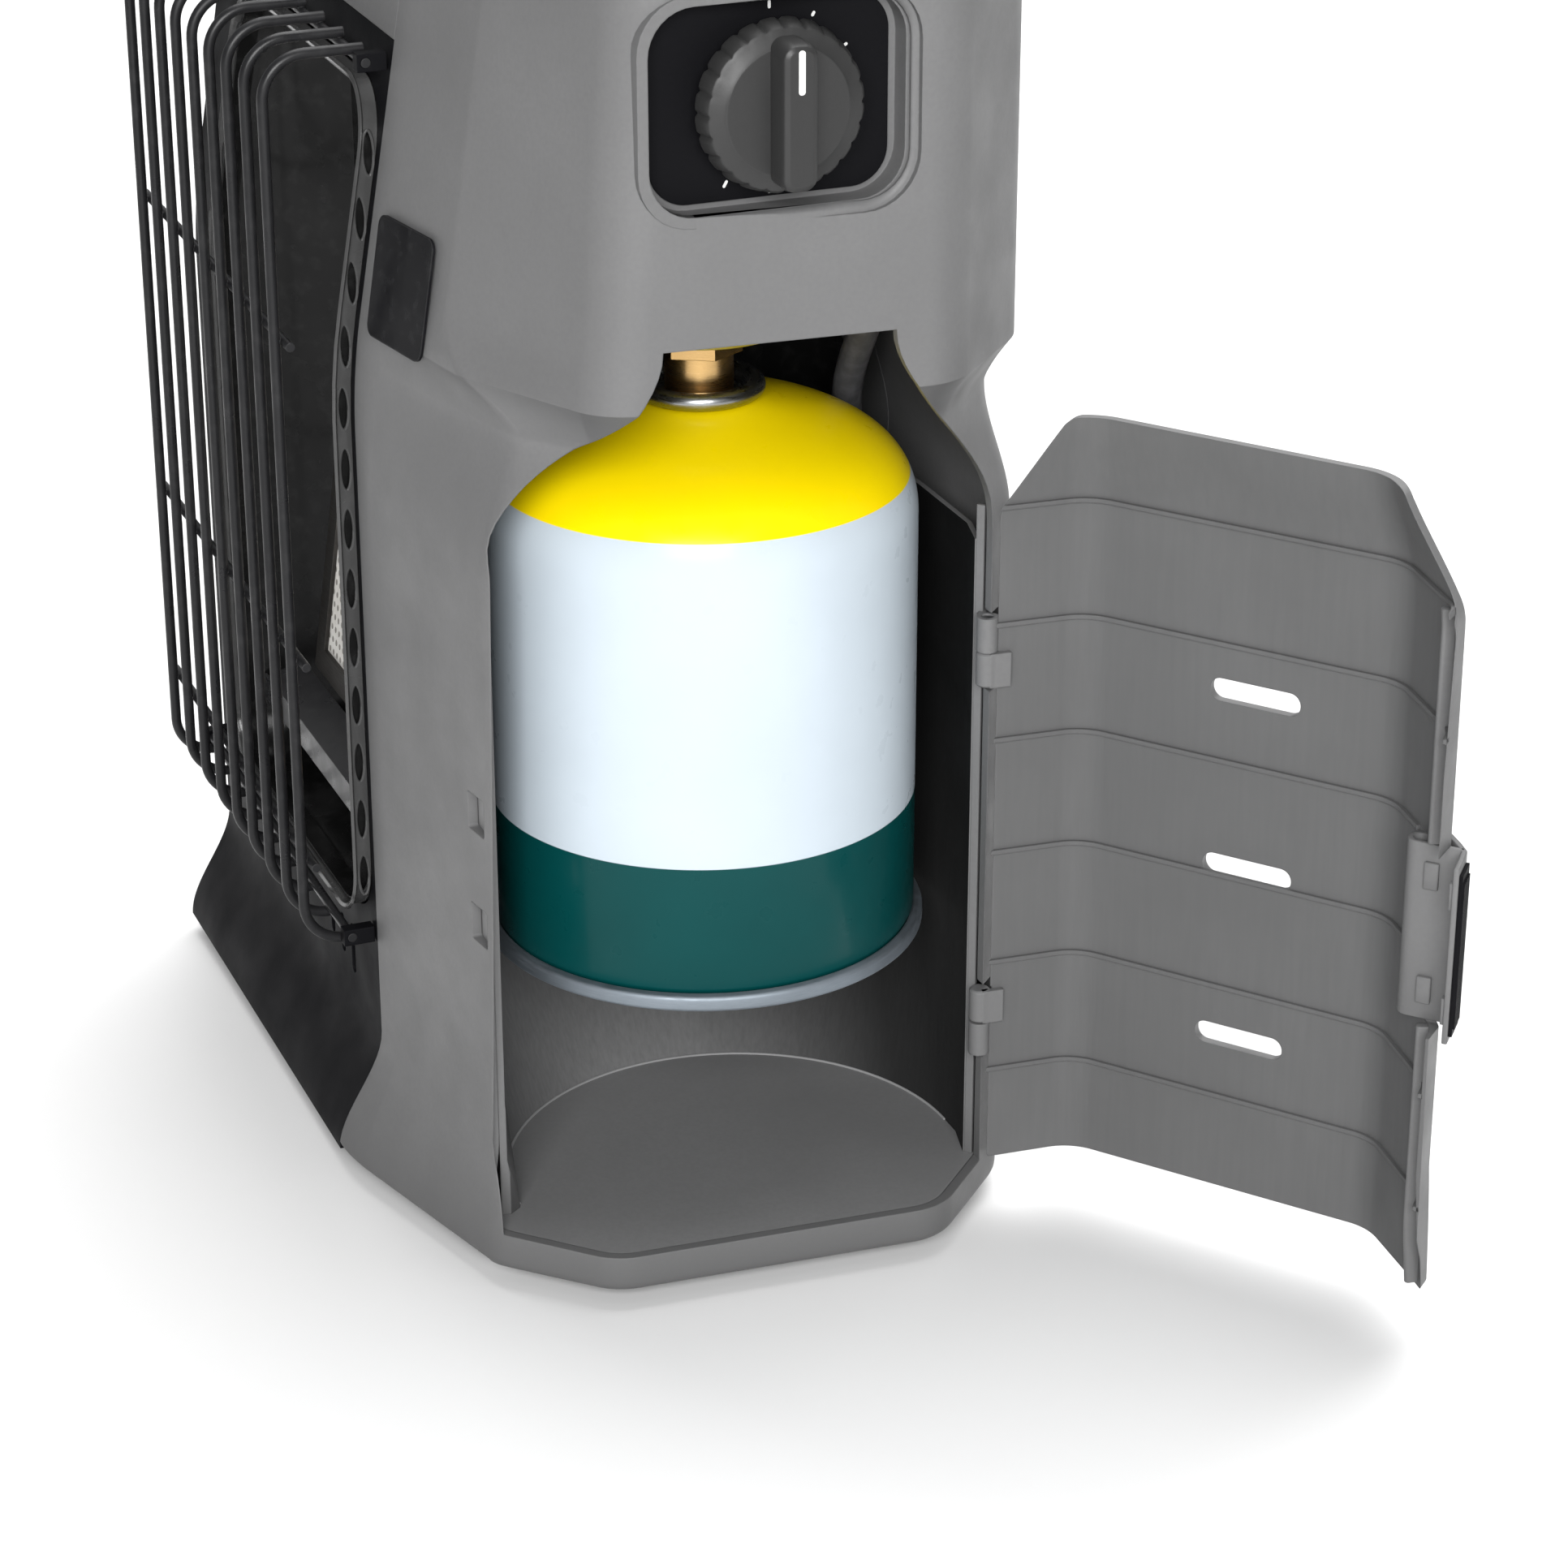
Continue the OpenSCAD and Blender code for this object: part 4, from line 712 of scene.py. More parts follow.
def bay_lining():
    """Rough inner skin of the compartment, with painted shade that blackens it upwards and towards the hinges."""
    paint = Paint("bay_lining")
    paint.input("Specular IOR Level", 0.12)
    place = paint.axes()
    # Painted shade: the wall goes near black higher up and towards the hinge side.
    up = paint.ramp(place["Z"], bay_upright_z * MM, (bay_upright_z + 75) * MM, 1.0, 0.0)
    side = paint.ramp(place["Y"], axis_place.y + 10 * MM, axis_place.y + 55 * MM, 1.0, 0.12)
    undarkened = paint.times(up, side)
    grain = paint.noise(900, 3, (1, 1, 0.07), 0.6)
    base = paint.mix(paint.ramp(grain, 0.35, 0.7, 0, 1), shade(grey, 1.0), shade(grey, 0.85))
    paint.colour(paint.mix(undarkened, shade(grey, 0.05), base))
    paint.rough(paint.cloud(60, 5, 0.3, 0.7, 0.6, 0.8))
    paint.bump(grain, 0.07, paint.rounded(0.4), 0.6)
    return paint.material


bay_skin = bay_lining()


def dress_nodes():
    """Every CAD node gets the finish of its slot."""
    for name, obj in nodes.items():
        obj.data.materials.clear()
        obj.data.materials.append(finishes[slots[name]])
    # The compartment floor gets the lighter painted-light copy of the casing grey.
    for name, material in (("spark_electrode", glaze), ("lower_tray", tray_gloss),
                           ("tile_frame", frame_steel), ("compartment_floor", lit_floor_grey)):
        nodes[name].data.materials[0] = material


def stand_in(obj, node, body="casing", **extra):
    """A piece that takes the place and the finish of a CAD node."""
    finish_piece(obj, finishes[slots[node]], body, slots[node], (node,), **extra)


def detail(obj, body="casing", slot="casing_grey", **extra):
    """An added piece in the plain finish of its slot."""
    finish_piece(obj, finishes[slot], body, slot, **extra)


# Casing

def skin_levels():
    return ([foot_h] + steps(foot_h, foot_h + bottom_r, 4) + steps(foot_h + bottom_r, foot_h + toe_h, 12)
            + steps(foot_h + toe_h, waist_start, 4) + steps(waist_start, waist_z, 14)
            + steps(waist_z, waist_end, 12) + steps(waist_end, lean_z + lean_blend + 20, 6)
            + steps(lean_z + lean_blend + 20, head_top - top_r, 4)
            + steps(head_top - top_r, head_top - 0.05, 10))


def skin():
    return ring_loft([at_height(outline(z, 0), z) for z in skin_levels()])


def space():
    """The hollow inside the skin."""
    rings = []
    for z in [foot_h - 1] + skin_levels()[:-8] + steps(head_top - top_r + 2, head_top - wall, 4):
        if z > head_top - top_r:
            zz = z + wall * (z - head_top + top_r) / (top_r - wall)
        else:
            zz = max(z, foot_h + bottom_r)
        rings.append(at_height(outline(zz, wall), z))
    return ring_loft(rings)


def shoulder(y_low, y_high):
    """One bottle-shaped side of the opening, from the shoulder up to the neck."""
    n = 18
    return [(y_low + (y_high - y_low) * smooth(i / n), door_shoulder + (neck_z - door_shoulder) * i / n)
            for i in range(n + 1)]


def mouth():
    """Outline of the door's opening, with its neck below the head."""
    left = shoulder(-mouth_front, mid_y - neck_half)
    right = shoulder(mouth_rear, mid_y + neck_half)
    low = door_z - door_gap
    return [(-mouth_front - mouth_slant, low), (mouth_rear, low)] + right + left[::-1]


def recess_cutter():
    """The recess of the knob, with a rounded brim."""
    brim = 2.4
    cy, cz = mid_y, recess_z + recess_h / 2
    rings = []
    curve = [on_circle(near_x + 0.4 - brim, brim, brim, 15 * i - 90) for i in range(7)]
    for x, grow in [(recess_x, 0)] + curve + [(near_x + past_cut, brim)]:
        flat = round_rect(recess_w + 2 * grow, recess_h + 2 * grow, 11 + grow, cy, cz)
        rings.append([(x, y, z) for y, z in flat])
    return ring_loft(rings)


far_side = slab(-far_x - past_x, -split_x, -reach, reach, -past_z, head_top + past_z)
near_side = slab(-split_x - seam, near_x + past_x, -reach, reach, -past_z, head_top + past_z)
above_cap = slab(-far_x - past_x, near_x + past_x, -reach, reach, cap_z, head_top + past_z)


def near_casing():
    obj = new_object("casing_near", skin())
    cuts = [space(), far_side, above_cap, prism(mouth(), mouth_x, near_x + past_cut, "x"), recess_cutter()]
    for z in tab_places:
        pocket = round_rect(pocket_w, 10, 0.8, pocket_x, z)
        cuts.append(prism(pocket, -front_d - past_cut, -front_d + 24, "y"))
    room = barrel_h + 1.5
    for z in (hinge_low, hinge_high):
        cuts.append(slab(cheek_x + 2, near_x, hinge.y - 4, hinge.y + 4.6, z - room, z + room))
    combine(obj, cuts)
    stand_in(obj, "near_shell")


def slot_backs():
    """Plates at the bottom of the two latch pockets, lighter than the casing as painted light."""
    x0, x1 = pocket_x - pocket_w / 2 - 0.6, mouth_x + 0.6
    y0 = -front_d + cheek_in + 0.9
    plates = [slab(x0, x1, y0, y0 + 0.6, z - 5.6, z + 5.6) for z in tab_places]
    obj = new_object("slot_backs", joined(*plates))
    finish_piece(obj, highlight_grey, "casing", "casing_grey")


def recess_lining():
    """The cup behind the knob."""
    outside = round_rect(recess_w + 2 * wall, recess_h + 2 * wall, 13, mid_y, valve_z)
    obj = new_object("knob_recess_lining", prism(outside, recess_x - wall, near_x - 1.6, "x"))
    hole = prism(circle(mid_y, valve_z, shaft_d / 2 + 2, 48), recess_x - wall - 1, near_x, "x")
    inside = round_rect(recess_w, recess_h, 11, mid_y, valve_z)
    combine(obj, [prism(inside, recess_x, near_x + 1, "x"), hole])
    detail(obj)


def far_casing():
    obj = new_object("casing_far", skin())
    cuts = [space(), near_side, above_cap,
            slab(-panel_far - seam, near_x + past_x, -front_d - 40, -front_d + 40, -past_z,
                 panel_top + seam),
            prism(round_rect(rear_w, rear_h, 8, -rear_x, rear_z), rear_d - past_cut, rear_d + past_cut, "y")]
    for i in range(back_slot_n):
        middle = back_slot_z + back_slot_pitch * i
        slot = round_rect(back_slot_w, back_slot_h, back_slot_h / 2 - 0.1, -rear_x, middle)
        cuts.append(prism(slot, rear_d - past_cut, rear_d + past_cut, "y"))
    combine(obj, cuts)
    stand_in(obj, "far_shell")


def top_casing():
    obj = new_object("casing_top", skin())
    combine(obj, [space(), slab(-far_x - past_x, near_x + past_x, -reach, reach, -past_z, cap_z + seam)])
    stand_in(obj, "top_cover")


def burner_front():
    """Black front panel with the dish opening and tapering vent slots."""
    levels = ([foot_h] + steps(foot_h, foot_h + toe_h, 24) + steps(foot_h + toe_h, lean_z, 2)
              + steps(lean_z, lean_z + lean_blend, 10) + [panel_top])
    outside = [(front_y(z) + seam, z) for z in levels]
    flat = outside + [(y + panel_t, z) for y, z in reversed(outside)]
    obj = new_object("burner_front", prism(flat, -panel_far, -split_x - seam, "x"))
    cuts = [prism(round_rect(dish_w + 2 * seam, dish_h + 2 * seam, 16 + seam, burner_x, dish_z + dish_h / 2),
                  -front_d - 30, -front_d + 40, "y")]
    for place, above, below in vent_slots:
        middle = dish_z - (above + below) / 2
        slot = round_rect(slot_w, below - above, slot_w / 2 - 0.1, -split_x - place, middle)
        cuts.append(prism(slot, -front_d - 30, -front_d + 20, "y"))
    combine(obj, cuts)
    stand_in(obj, "front_panel")


# Compartment

def bay_shift_at(z):
    """Shift of the compartment wall towards the door, easing out where it turns upright."""
    full = bay_upright_z - foot_h
    t = (bay_upright_z - z) / full
    soft = 0.12
    eased = 0.5 * (t + sqrt(t * t + soft * soft * 0.25)) - 0.25 * soft
    return bay_shift * max(0.0, min(t if t > soft else eased, 1.0)) if t > -soft else 0.0


def bay_plan(z, r, out):
    """Plan of the compartment wall: a round back and two flanges towards the opening."""
    s = bay_shift_at(z)
    flange_x = mouth_x - 0.4
    rear_end = cheek_x + 5.6
    front_flange = bay_r - r - mouth_front + seam + bay_t + 0.4
    return arc(s, 0, r, 90, 270, bay_arc) + [(max(s + 1, flange_x - 17), -r), (flange_x + out, front_flange),
                                             (rear_end + out, r - 3), (max(s + 1, rear_end - 11), r)]


def bay_levels():
    low, high = bay_upright_z - 8, bay_upright_z + 8
    return [floor_top] + steps(floor_top, low, 3) + steps(low, high, 6) + [bay_top]


def bay_wall():
    def rings(r, out, levels):
        return ring_loft([at_height(bay_plan(z, r, out), z) for z in levels])
    levels = bay_levels()
    obj = new_object("bay_wall", rings(bay_r + bay_t, 0, levels))
    combine(obj, [rings(bay_r, 1, [floor_top - 1] + levels[1:-1] + [bay_top + 1])])
    inside = inner_faces(obj)
    stand_in(obj, "compartment_wall")
    line_inner_side(obj, inside, bay_skin)


def bay_fillet():
    """Thin bead where the wall meets the floor, in a light grey that paints a highlight along the seam."""
    plan = bay_plan(floor_top, bay_r - 0.1, 0)[:bay_arc + 1]
    obj = new_object("bay_fillet", tube(at_height(plan, floor_top + 0.1), 0.4, 8))
    finish_piece(obj, highlight_grey, "casing", "casing_grey")


def jamb_strip():
    """Return of the casing behind the hinges, from the compartment wall to the rear bevel."""
    inward = left_of(rear_bevel)
    far = hinge + inward * 2.2 + rear_bevel * 2.9
    near = Vector((cheek_x + 5.2, bay_r - 2.0))
    levels = [floor_top] + steps(floor_top, door_shoulder, 8)
    obj = new_object("jamb_strip", ring_loft([at_height(band([near, far], 1.2), z) for z in levels]))
    detail(obj)


# Door

rear_bevel = (Vector((cheek_x, rear_d)) - Vector((near_x + near_skew / 2, mid_y + near_half))).normalized()
hinge_in = 1.2


def inner_faces(obj):
    """Numbers of the faces that look towards the cartridge axis."""
    middle = put(0, 0, 0)
    return [face.index for face in obj.data.polygons
            if face.normal.xy.dot((face.center - middle).xy) < -0.2 * (face.center - middle).xy.length]


def line_inner_side(obj, faces, material):
    """The inner side keeps the rough skin of the mould."""
    obj.data.materials.append(material)
    for i in faces:
        obj.data.polygons[i].material_index = 1


def door_loft(inset, over=0.0):
    """The skin between the lower and upper end of the door, or past both by a little."""
    levels = [door_z] + steps(door_z, waist_start, 5) + steps(waist_start, door_top, 12)
    ends = [levels[0] - over] + levels[1:-1] + [levels[-1] + over] if over else levels
    return ring_loft([at_height(outline(max(door_z, min(door_top, z)), inset), z) for z in ends])


def rounded_outline(points, radii):
    """A closed outline with each corner rounded."""
    flat = []
    n, arc_n = len(points), 6
    for i in range(n):
        p, before, after = Vector(points[i]), Vector(points[i - 1]), Vector(points[(i + 1) % n])
        d0, d1 = (p - before).normalized(), (after - p).normalized()
        turn = d0.angle_signed(d1)
        r = radii[i]
        reach = r * tan(abs(turn) / 2)
        start, end = p - d0 * reach, p + d1 * reach
        for k in range(arc_n + 1):
            t = k / arc_n
            bend = (1 - t) ** 2 * start + 2 * t * (1 - t) * p + t * t * end
            flat.append((bend.x, bend.y))
    return flat


def door_outline():
    rear = hinge.y - barrel_d / 2 + 0.2
    corners = [(-mouth_front - mouth_slant + door_gap, door_z), (rear, door_z), (rear, door_shoulder),
               (mid_y + door_top_half, door_top), (mid_y - door_top_half, door_top),
               (-mouth_front + door_gap, door_shoulder)]
    return prism(rounded_outline(corners, door_corner_r), mouth_x + 0.4, near_x + past_cut, "x")


def door_panel():
    """Shell of the door with its vents, and the ribs on its inner side."""
    obj = new_object("door_panel", door_loft(0))
    combine(obj, [door_loft(door_t, 1.0)])
    combine(obj, [door_outline()], "INTERSECT")
    ribs = new_object("door_ribs", door_loft(door_t - 0.2))
    combine(ribs, [door_loft(door_t + rib_t, 1.0)])
    rib_places = [rib_first + rib_pitch * i for i in range(rib_n)]
    bars = [slab(0, near_x + 5, -80, 80, z - rib_w / 2, z + rib_w / 2) for z in rib_places]
    combine(ribs, [joined(*bars)], "INTERSECT")
    combine(ribs, [door_outline()], "INTERSECT")
    low, high = latch_z - latch_h / 2 - 0.6, latch_z + latch_h / 2 + 0.6
    latch_gap = slab(0, near_x, -front_d, -mouth_front + 4.7, low, high)
    corner = Vector(plan_corners(latch_z)[2])
    along = (Vector(plan_corners(latch_z)[3]) - corner).normalized()
    inward = left_of(along)
    inner = [corner + along * u + inward * (door_t + v) for u, v in ((0, 0.02), (15, 0.02), (15, 4), (0, 4))]
    clip_gap = prism([(p.x, p.y) for p in inner], low, high)
    vents = []
    for i in range(3):
        flat = round_rect(vent_w, vent_h, vent_h / 2 - 0.05, mid_y - vent_shift, vent_z + vent_pitch * i)
        vents.append(prism(flat, near_x - 10, near_x + 10, "x"))
    barrel_room = []
    for start, end in ((hinge_low, hinge_low + barrel_h + 0.6), (hinge_high - barrel_h - 0.6, hinge_high)):
        barrel_room.append(prism(circle(hinge.x, hinge.y, barrel_d / 2 + 0.4, 24), start, end))
    combine(obj, [latch_gap, clip_gap] + vents + barrel_room)
    combine(ribs, [latch_gap, clip_gap])
    inside = inner_faces(obj)
    swing(obj, ribs)
    finish_piece(ribs, raw_moulding, "door", "casing_grey")
    stand_in(obj, "door", "door")
    line_inner_side(obj, inside, raw_moulding)


def swing(*objects):
    """Turns pieces drawn on the closed door to its open place."""
    place = Vector(hinge_joint["pos_m"])
    turn = Matrix.Rotation(radians(-hinge_joint["range_deg"][0]), 4, "Z")
    for obj in objects:
        obj.data.transform(Matrix.Translation(place) @ turn @ Matrix.Translation(-place))


def door_barrels():
    """Round barrels of the door with the webs that carry them."""
    chamfer = 0.5
    r = barrel_d / 2
    shapes = []
    place = Matrix.Translation((hinge.x, hinge.y, 0))
    turn = Matrix.Rotation(atan2(rear_bevel.y, rear_bevel.x) + pi, 4, "Z")
    for low, high in ((hinge_low, hinge_low + barrel_h), (hinge_high - barrel_h, hinge_high)):
        profile = [(0.0, low), (r - chamfer, low), (r, low + chamfer), (r, high - chamfer),
                   (r - chamfer, high), (0.0, high)]
        shapes.append(moved(revolve(profile, 32), place))
        shapes.append(moved(slab(0, 5.5, -r, 0.1 - hinge_in, low, high), place @ turn))
    obj = new_object("door_barrels", joined(*shapes))
    swing(obj)
    detail(obj, "door")


def edge_place(z):
    """Free edge of the closed door at a height, and the direction along the door there."""
    y = -mouth_front + door_gap - mouth_slant * (door_shoulder - z) / (door_shoulder - door_z)
    if z > door_shoulder:
        narrowing = mid_y - door_top_half + mouth_front - door_gap
        y += narrowing * (z - door_shoulder) / (door_top - door_shoulder)
    ring = [Vector(p) for p in outline(z, 0)]
    for a, b in zip(ring, ring[1:]):
        if a.x > 0 and a.y < y <= b.y:
            t = (y - a.y) / (b.y - a.y)
            return a + (b - a) * t, (b - a).normalized()


def door_bead():
    """Turned-in flange along the free edge, left out behind the latch."""
    depth, width, r = 5.2, 2.0, 0.8
    gap = latch_h / 2 + 0.9
    for name, low, high in (("door_bead_low", door_z + 1, latch_z - gap),
                            ("door_bead_high", latch_z + gap, door_shoulder)):
        rings = []
        for z in [low] + steps(low, high, 12):
            place, along = edge_place(z)
            inward = left_of(along)
            flat = round_rect(width, depth, r, width / 2 + 0.1, depth / 2 + 0.1, 5)
            rings.append([(*(place + along * u + inward * v), z) for u, v in flat])
        obj = new_object(name, ring_loft(rings))
        swing(obj)
        detail(obj, "door")


def band(path, t):
    """Outline of a strip of even thickness along a path in plan."""
    path = [Vector(p) for p in path]
    left, right = [], []
    for i, p in enumerate(path):
        along = (path[min(i + 1, len(path) - 1)] - path[max(i - 1, 0)]).normalized()
        left.append(tuple(p + left_of(along) * t / 2))
        right.append(tuple(p - left_of(along) * t / 2))
    return right + left[::-1]


def latch_clip():
    """Latch: cover outside, plate over the free edge, rounded lip inside and two catch tabs."""
    corner = Vector(plan_corners(latch_z)[2])
    cheek = (corner - Vector(plan_corners(latch_z)[1])).normalized()
    bevel = (Vector(plan_corners(latch_z)[3]) - corner).normalized()
    behind, inward = left_of(cheek), left_of(bevel)
    out = latch_travel + seam + latch_wall / 2
    cover = [corner - cheek * 10 - behind * out, corner - cheek * 3 - behind * out,
             corner - (behind + inward) / 2 * out,
             corner + bevel * 3 - inward * out, corner + bevel * 9 - inward * out]
    plate_x = corner.x + 1.4
    nose = Vector((plate_x + 2.4, corner.y + 9.4))
    lip = [(plate_x, corner.y - 2.2), (plate_x, corner.y + 3), (plate_x, corner.y + 8)]
    lip += arc(nose.x, nose.y, 2.4, 180, -30, 14)
    low, high = latch_z - latch_h / 2, latch_z + latch_h / 2
    shapes = [prism(band(cover, latch_wall), low, high), prism(band(lip, latch_wall), low, high)]
    clip = new_object("latch_clip", joined(*shapes))
    tabs = []
    for z in tab_places:
        low, high = z - 3.5, z + 3.5
        tabs.append(slab(plate_x - latch_wall / 2 - 1.0, plate_x, corner.y + 3.4, corner.y + 7, low, high))
        root = corner - cheek * 9 - behind * (out - 0.1)
        along, deep = cheek * 2.2, behind * latch_travel
        hook = [root, root + along, root + along + deep, root + deep]
        tabs.append(prism([tuple(p) for p in hook], low, high))
    catch = new_object("latch_tabs", joined(*tabs))
    swing(clip, catch)
    detail(catch, "latch", bevel=0.3)
    stand_in(clip, "door_latch", "latch", angle=40, bevel=0.35)


# Cartridge

def dome_profile():
    """Curve of the cartridge's shoulder, from the side up to the ring."""
    n = 40
    a, b = Vector((cart_d / 2, cart_side_h - 8)), Vector((cart_d / 2, cart_side_h + 12))
    c, d = Vector((cart_d / 2 - 18, cart_h - bead_d - 6)), Vector((ring_d / 2, cart_h - bead_d))
    points = []
    for i in range(n + 1):
        t = i / n
        p = a * (1 - t) ** 3 + b * 3 * t * (1 - t) ** 2 + c * 3 * t * t * (1 - t) + d * t ** 3
        points.append((p.x, p.y))
    return points


def cartridge():
    """Can, seamed bottom rim and rolled valve ring with its threaded neck."""
    r = cart_d / 2
    up = Matrix.Translation((0, 0, cart_z))
    top = cart_h - bead_d
    foot = [(0.01, 6), (r - 14, 5), (r - 5, 2), (r - 1, 1.4), (r - 1, 3), (r - 0.6, 4.2), (r, 5.4)]
    profile = foot + [(r, 40), (r, 80)] + dome_profile() + [(ring_d / 2 - 3, top), (0.01, top)]
    body = new_object("cartridge_can", moved(revolve(profile, 144), up))
    stand_in(body, "cartridge_body", "cartridge")
    rr = r + rim_stand
    rim_profile = ([(r - 3, 0.5)] + arc(rr - 1.1, 1.1, 1.1, -90, 0, 6) + arc(rr - 1.1, 3.1, 1.1, 0, 80, 6)
                   + [(r + 0.4, 4.4), (r - 0.4, 4.0), (r - 0.8, 1.2), (r - 3, 1.4)])
    rim = new_object("cartridge_seam", moved(revolve(rim_profile, 144), up))
    finish_piece(rim, tinned, "cartridge", "bright_steel", ("cartridge_rim",))
    base = top + 0.3
    bead = circle(ring_d / 2, base + bead_d / 2, bead_d / 2, 24)
    cup = [(0.01, base), (ring_d / 2 - 1, base), (ring_d / 2 - 1, base + 2.2),
           (ring_d / 2 - 2.2, base + 2.2), (ring_d / 2 - 3.2, base + 0.8), (neck_d / 2 + 2.2, base + 0.8),
           (neck_d / 2 + 0.6, base + 1.8), (0.01, base + 1.8)]
    thread = []
    for i in range(8):
        z = base + 1.2 + i * 0.85
        thread += [(neck_d / 2 - 0.35, z), (neck_d / 2, z + 0.35)]
    neck = [(0.01, base + 0.5), (neck_d / 2 - 0.3, base + 0.5)] + thread
    neck += [(neck_d / 2 - 0.8, base + 8), (0.01, base + 8)]
    ring = new_object("cartridge_valve", moved(joined(revolve(bead), revolve(cup), revolve(neck, 48)), up))
    finish_piece(ring, ring_steel, "cartridge", "bright_steel", ("cartridge_valve_ring",))


# Burner dish

def dish_ring(grow, radius, place):
    """One ring of the dish; place gives y from x and z."""
    flat = round_rect(dish_w + 2 * grow, dish_h + 2 * grow, radius, burner_x, dish_z + dish_h / 2, 12)
    ring = []
    for a, b in zip(flat, flat[1:] + flat[:1]):
        parts = 20 if abs(a[1] - b[1]) > 30 else 1
        for k in range(parts):
            x, z = [u + (v - u) * k / parts for u, v in zip(a, b)]
            ring.append((x, place(z), z))
    return ring


def follow(offset):
    """Places a ring of the dish at an even distance from the casing's front."""
    return lambda z: front_y(z) + offset


def deepen(offset, back_y, t):
    """Places a ring of the dish part of the way from its lip to its back."""
    return lambda z: follow(offset)(z) * (1 - t) + back_y * t


def dish():
    """Pressed dish with its rim, the long holes of the rim, and the opening for the burner."""
    back_y = -front_d + dish_d
    lip = rim_d - rim_out
    rings = [dish_ring(grow, 16.2 + grow, follow(offset)) for grow, offset in (
        (0.7, 0.2 - rim_out), (0.3, -0.3 - rim_out), (-0.3, -rim_out), (-0.5, 1.0 - rim_out),
        (-0.5, rim_face - rim_out), (-0.5, lip - 1.2), (-0.9, lip))]
    for t in (0.25, 0.5, 0.75, 0.92, 1.0):
        grow = -0.9 - 13 * t ** 1.5
        rings.append(dish_ring(grow, max(8, 15 - 7 * t), deepen(lip, back_y, t)))
    rings.append(dish_ring(-16, 8, lambda z: back_y + 0.3))
    points, faces = ring_loft(rings)
    obj = new_object("burner_dish", (points, faces[1:]))
    sheet = obj.modifiers.new("sheet", "SOLIDIFY")
    sheet.thickness = 0.8 * MM
    sheet.offset = 0
    bake(obj)
    low, high = [taken_back(corner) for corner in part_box("tile_frame")]
    cuts = [slab(low.x - 1, high.x + 1, -front_d, back_y + 10, low.z - 1, high.z + 1)]
    for z in hole_places:
        for side in (-1, 1):
            x = burner_x + side * dish_w / 2
            cuts.append(prism(rim_oval(z, 0), x - 4, x + 4, "x"))
    combine(obj, cuts)
    beads = []
    for z in hole_places:
        for side in (-1, 1):
            x = burner_x + side * (dish_w / 2 - 0.5)
            beads.append(tube([(x, y, w) for y, w in rim_oval(z, 0.2)], 0.45, 6, closed=True))
    liner = new_object("rim_liner", rim_liner())
    detail(liner, slot="black_sheet")
    trim = new_object("rim_hole_beads", joined(*beads))
    finish_piece(trim, rim_lit_enamel, "casing", "black_sheet")
    stand_in(obj, "reflector_dish")
    # The rim's front band takes the lighter enamel as painted highlight; the dish behind it stays black.
    obj.data.materials.append(rim_lit_enamel)
    for face in obj.data.polygons:
        behind = (face.center.y - axis_place.y) / MM - front_y(face.center.z / MM) + rim_out
        if behind < rim_face:
            face.material_index = 1


def rim_oval(z, grow):
    """Outline of one long hole of the rim, near its front edge."""
    middle = front_y(z) - rim_out + rim_face / 2 + 0.3
    a, b = 1.25 + grow, rim_hole / 2 + grow
    turns = [radians(i) for i in range(0, 360, 12)]
    return [(middle + a * cos(t), z + b * sin(t)) for t in turns]


def rim_liner():
    """Second wall close behind the holes of the rim."""
    front, back = 1.4 - rim_out, rim_d - rim_out - 1.4
    rings = [dish_ring(grow, 16.2 + grow, follow(offset)) for grow, offset in (
        (-1.6, front), (-1.6, back), (-2.1, back), (-2.1, front))]
    points, faces = ring_loft(rings)
    n = len(rings[0])
    return points, faces[1:-1] + [(3 * n + i, 3 * n + (i + 1) % n, (i + 1) % n, i) for i in range(n)]


# Controls and handle

def knob():
    """Control knob with a fluted skirt and a raised pointer bar."""
    r = knob_d / 2
    n = 144
    flutes = 24
    rings = []
    for x, radius, flute in ((0, r - 0.6, 0.5), (0.6, r, 0.7), (4.6, r - 0.7, 0.7), (5.6, r - 1.4, 0.4),
                             (6.0, r - 2.4, 0.0), (6.6, r - 4.4, 0.0), (7.2, r - 5.2, 0.0)):
        ring = []
        for i in range(n):
            a = 2 * pi * i / n
            r_here = radius - flute * max(0.0, cos(a * flutes)) ** 3
            ring.append((knob_x + x, mid_y + r_here * cos(a), valve_z + r_here * sin(a)))
        rings.append(ring)
    body = new_object("knob_skirt", ring_loft(rings))
    stand_in(body, "control_knob", "knob")
    bar_rings = []
    for x, inset in ((knob_h - 10, 0), (knob_h - 1.6, 0.2), (knob_h - 0.7, 0.6), (knob_h - 0.1, 1.6)):
        flat = round_rect(9 - 2 * inset, knob_d - 6 - 2 * inset, 3.5 - inset, mid_y, valve_z)
        bar_rings.append([(knob_x + x, y, z) for y, z in flat])
    bar = new_object("knob_bar", ring_loft(bar_rings))
    detail(bar, "knob", "knob_black")
    mark = new_object("knob_mark", prism(round_rect(1.6, 10, 0.7, mid_y, valve_z + knob_d / 2 - 9.4),
                                         knob_x + knob_h - 0.3, knob_x + knob_h - 0.02, "x"))
    finish_piece(mark, mark_paint, "knob", "knob_black")


def dial_marks():
    """Plain ticks round the knob."""
    x = recess_x + 0.8
    shapes = []
    for i in range(8):
        turn = 90 - 210 * i / 7
        size = 1.6 if i % 7 else 3.0
        r0 = knob_d / 2 + 0.9
        p0 = on_circle(mid_y, valve_z, r0, turn)
        p1 = on_circle(mid_y, valve_z, r0 + size * 0.4, turn)
        shapes.append(prism(stadium(p0, p1, 0.7), x - 0.05, x + 0.1, "x"))
    obj = new_object("dial_marks", joined(*shapes))
    finish_piece(obj, mark_paint, "casing", "casing_black")


